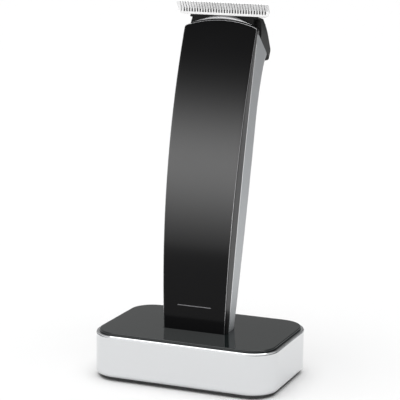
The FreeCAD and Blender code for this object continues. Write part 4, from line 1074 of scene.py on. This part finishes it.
@dataclass
class Studio:
    """Floor, soft light and camera."""

    floor_half: float = 6.0
    floor_grey: float = 0.85
    camera_place: Colour = (0.25459, -0.65185, 0.21615)
    azimuth: float = 21.45
    elevation: float = 11.0
    roll: float = 1.01
    lens: float = 144.0
    sensor: float = 36.0
    far: float = 50.0
    sky_grey: float = 0.46
    patches: Sequence[tuple[float, ...]] = (
        (1.4, -21.0, 0.245, 0.30, 4.0),
        (-0.38, 150.0, 0.05, 0.7, 2.0),
    )
    """Strength, bearing, height, spread and narrowness of each patch of the surroundings."""
    softbox_size: tuple[float, float] = (0.9, 1.1)
    softbox_bearing: float = -21.45
    softbox_reach: float = 1.2
    softbox_strength: float = 13.5
    softbox_middle: float = 0.345
    softbox_spread: float = 0.245
    ceiling_strength: float = 2.29
    ceiling_width: float = 70.0
    strip_place: Colour = (0.9, -0.35, 0.02)
    strip_target: Colour = (0.03, -0.02, 0.05)
    strip_size: tuple[float, float] = (0.30, 0.10)
    strip_power: float = 0.8
    glow_place: Colour = (0.17, 0.06, 0.02)
    glow_target: Colour = (0.01, 0.0, 0.04)
    glow_size: tuple[float, float] = (0.20, 0.04)
    glow_power: float = 0.10

    def floor(self) -> None:
        """A plain pale floor with a faint mottling."""
        half = self.floor_half
        mesh = bpy.data.meshes.new("floor")
        mesh.from_pydata([(-half, -half, 0), (half, -half, 0), (half, half, 0), (-half, half, 0)],
                         [], [(0, 1, 2, 3)])
        made = put("floor", mesh)
        grey = self.floor_grey
        paint = Moulded("floor_paint", (grey, grey, grey), 0.9, 60.0, 0.0, 0.01).material()
        mesh.materials.append(paint)

    def lobe(self, tree: bpy.types.NodeTree, way: object, toward: float, rise: float,
             spread: float, power: float) -> object:
        """A soft patch of the surroundings, as a socket that runs from 0 to 1.

        Its strength is a bell curve of the direction's height about ``rise``, times a power of
        the cosine of the bearing away from ``toward``.

        Args:
            tree: The world's node tree.
            way: The socket that gives the direction.
            toward: Bearing of the patch, in degrees from the front towards the right.
            rise: Height of its middle, as the sine of the elevation.
            spread: Width of the bell curve, in the same measure.
            power: The higher this is, the narrower the patch is across.

        Returns:
            The output socket.
        """
        turn = math.radians(toward)
        aim = (math.sin(turn), -math.cos(turn), 0.0)
        parts = node(tree, "ShaderNodeSeparateXYZ")
        bearing = node(tree, "ShaderNodeVectorMath", operation="DOT_PRODUCT", inputs={1: aim})
        ahead = maths(tree, "MAXIMUM", {1: 0.0})
        narrow = maths(tree, "POWER", {1: power})
        both = maths(tree, "MULTIPLY")
        link(tree, (way, parts.inputs[0]), (way, bearing.inputs[0]),
             (bearing.outputs["Value"], ahead.inputs[0]), (ahead.outputs[0], narrow.inputs[0]),
             (bell(tree, parts.outputs["Z"], rise, spread), both.inputs[0]),
             (narrow.outputs[0], both.inputs[1]))
        return both.outputs[0]

    def sky(self) -> None:
        """Studio surroundings: an even grey, plus the soft patches listed in ``patches``."""
        world = bpy.data.worlds.new("studio")
        bpy.context.scene.world = world
        world.use_nodes = True
        tree = world.node_tree
        way = node(tree, "ShaderNodeTexCoord").outputs["Generated"]
        total = node(tree, "ShaderNodeValue").outputs[0]
        total.default_value = self.sky_grey
        for strength, *patch in self.patches:
            add = maths(tree, "MULTIPLY_ADD", {1: strength})
            link(tree, (self.lobe(tree, way, *patch), add.inputs[0]), (total, add.inputs[2]))
            total = add.outputs[0]
        backdrop = tree.nodes["Background"]
        backdrop.inputs["Color"].default_value = (1.0, 1.0, 1.0, 1.0)
        link(tree, (total, backdrop.inputs["Strength"]))

    def lamp(self, name: str, place: Colour, target: Colour, size: tuple[float, float],
             power: float) -> bpy.types.Object:
        """A rectangular soft light at a place, turned to a target."""
        data = bpy.data.lights.new(name, "AREA")
        data.shape = "RECTANGLE"
        data.size, data.size_y = size
        data.energy = power
        made = put(name, data)
        made.location = place
        made.rotation_mode = "QUATERNION"
        made.rotation_quaternion = (Vector(target) - Vector(place)).to_track_quat("-Z", "Y")
        made.visible_camera = False
        return made

    def side_glow(self, shells: Sequence[bpy.types.Object]) -> None:
        """A small low lamp beside the object that lifts the lower part of the silver side."""
        made = self.lamp("side_glow", self.glow_place, self.glow_target, self.glow_size,
                         self.glow_power)
        made.light_linking.receiver_collection = collect("side_glow_lights", shells)

    def softbox(self, covers: Sequence[bpy.types.Object]) -> None:
        """A tall soft panel low in front of the object, linked to the glossy cover alone.

        The panel's light fades as a bell curve of height about its middle, so that the cover
        shows one soft band.

        Args:
            covers: The pieces that this panel lights.
        """
        wide, tall = self.softbox_size
        turn = math.radians(self.softbox_bearing)
        reach = self.softbox_reach
        place = (reach * math.sin(turn), -reach * math.cos(turn), tall / 2)
        made = self.lamp("softbox", place, (0.0, 0.0, tall / 2), self.softbox_size,
                         math.pi * wide * tall * self.softbox_strength)
        made.visible_camera = True
        made.data.use_nodes = True
        tree = made.data.node_tree
        spot = node(tree, "ShaderNodeNewGeometry").outputs["Parametric"]
        parts = node(tree, "ShaderNodeSeparateXYZ")
        fade = bell(tree, parts.outputs["Y"], self.softbox_middle, self.softbox_spread)
        link(tree, (spot, parts.inputs[0]), (fade, tree.nodes["Emission"].inputs["Strength"]))
        made.light_linking.receiver_collection = collect("softbox_lights", covers)

    def sun(self) -> None:
        """A wide soft light from straight above, as even over the floor as a lit ceiling."""
        data = bpy.data.lights.new("ceiling", "SUN")
        data.energy = self.ceiling_strength
        data.angle = math.radians(self.ceiling_width)
        put("ceiling", data)

    def camera(self) -> None:
        """The camera, at the viewing angle asked for, with a small roll."""
        data = bpy.data.cameras.new("camera")
        data.lens = self.lens
        data.sensor_width = self.sensor
        data.clip_end = self.far
        made = put("camera", data)
        bearing, rise = math.radians(self.azimuth), math.radians(self.elevation)
        back = Vector((math.sin(bearing) * math.cos(rise), -math.cos(bearing) * math.cos(rise),
                       math.sin(rise)))
        made.rotation_mode = "QUATERNION"
        roll = Matrix.Rotation(math.radians(self.roll), 4, "Z").to_quaternion()
        made.rotation_quaternion = back.to_track_quat("Z", "Y") @ roll
        made.location = self.camera_place
        bpy.context.scene.camera = made

    def build(self) -> None:
        """Set the whole stage up."""
        self.camera()
        self.floor()
        self.sky()
        self.sun()
        self.lamp("right_strip", self.strip_place, self.strip_target, self.strip_size,
                  self.strip_power)
        bpy.context.scene.view_settings.view_transform = "Standard"
        LOG.info("stage, lights and camera")


def main() -> None:
    """Build the scene."""
    logging.basicConfig(level=logging.INFO, format="%(name)s: %(message)s")
    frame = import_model()
    paints = Paintbox()
    studio = Studio()
    studio.build()
    paints.dress_nodes(frame["nodes"])
    form = Handset()
    cover = FrontCover(form, paints).build()
    studio.softbox([cover])
    studio.side_glow([frame["nodes"]["rear_housing"]])
    ShellTrim(form, paints).build()
    SlotShadeStrip(form, paints).build()
    PowerSwitch(form, paints).build()
    Wiring(form, paints).build()
    Underside(paints).build()


if __name__ == "__main__":
    main()
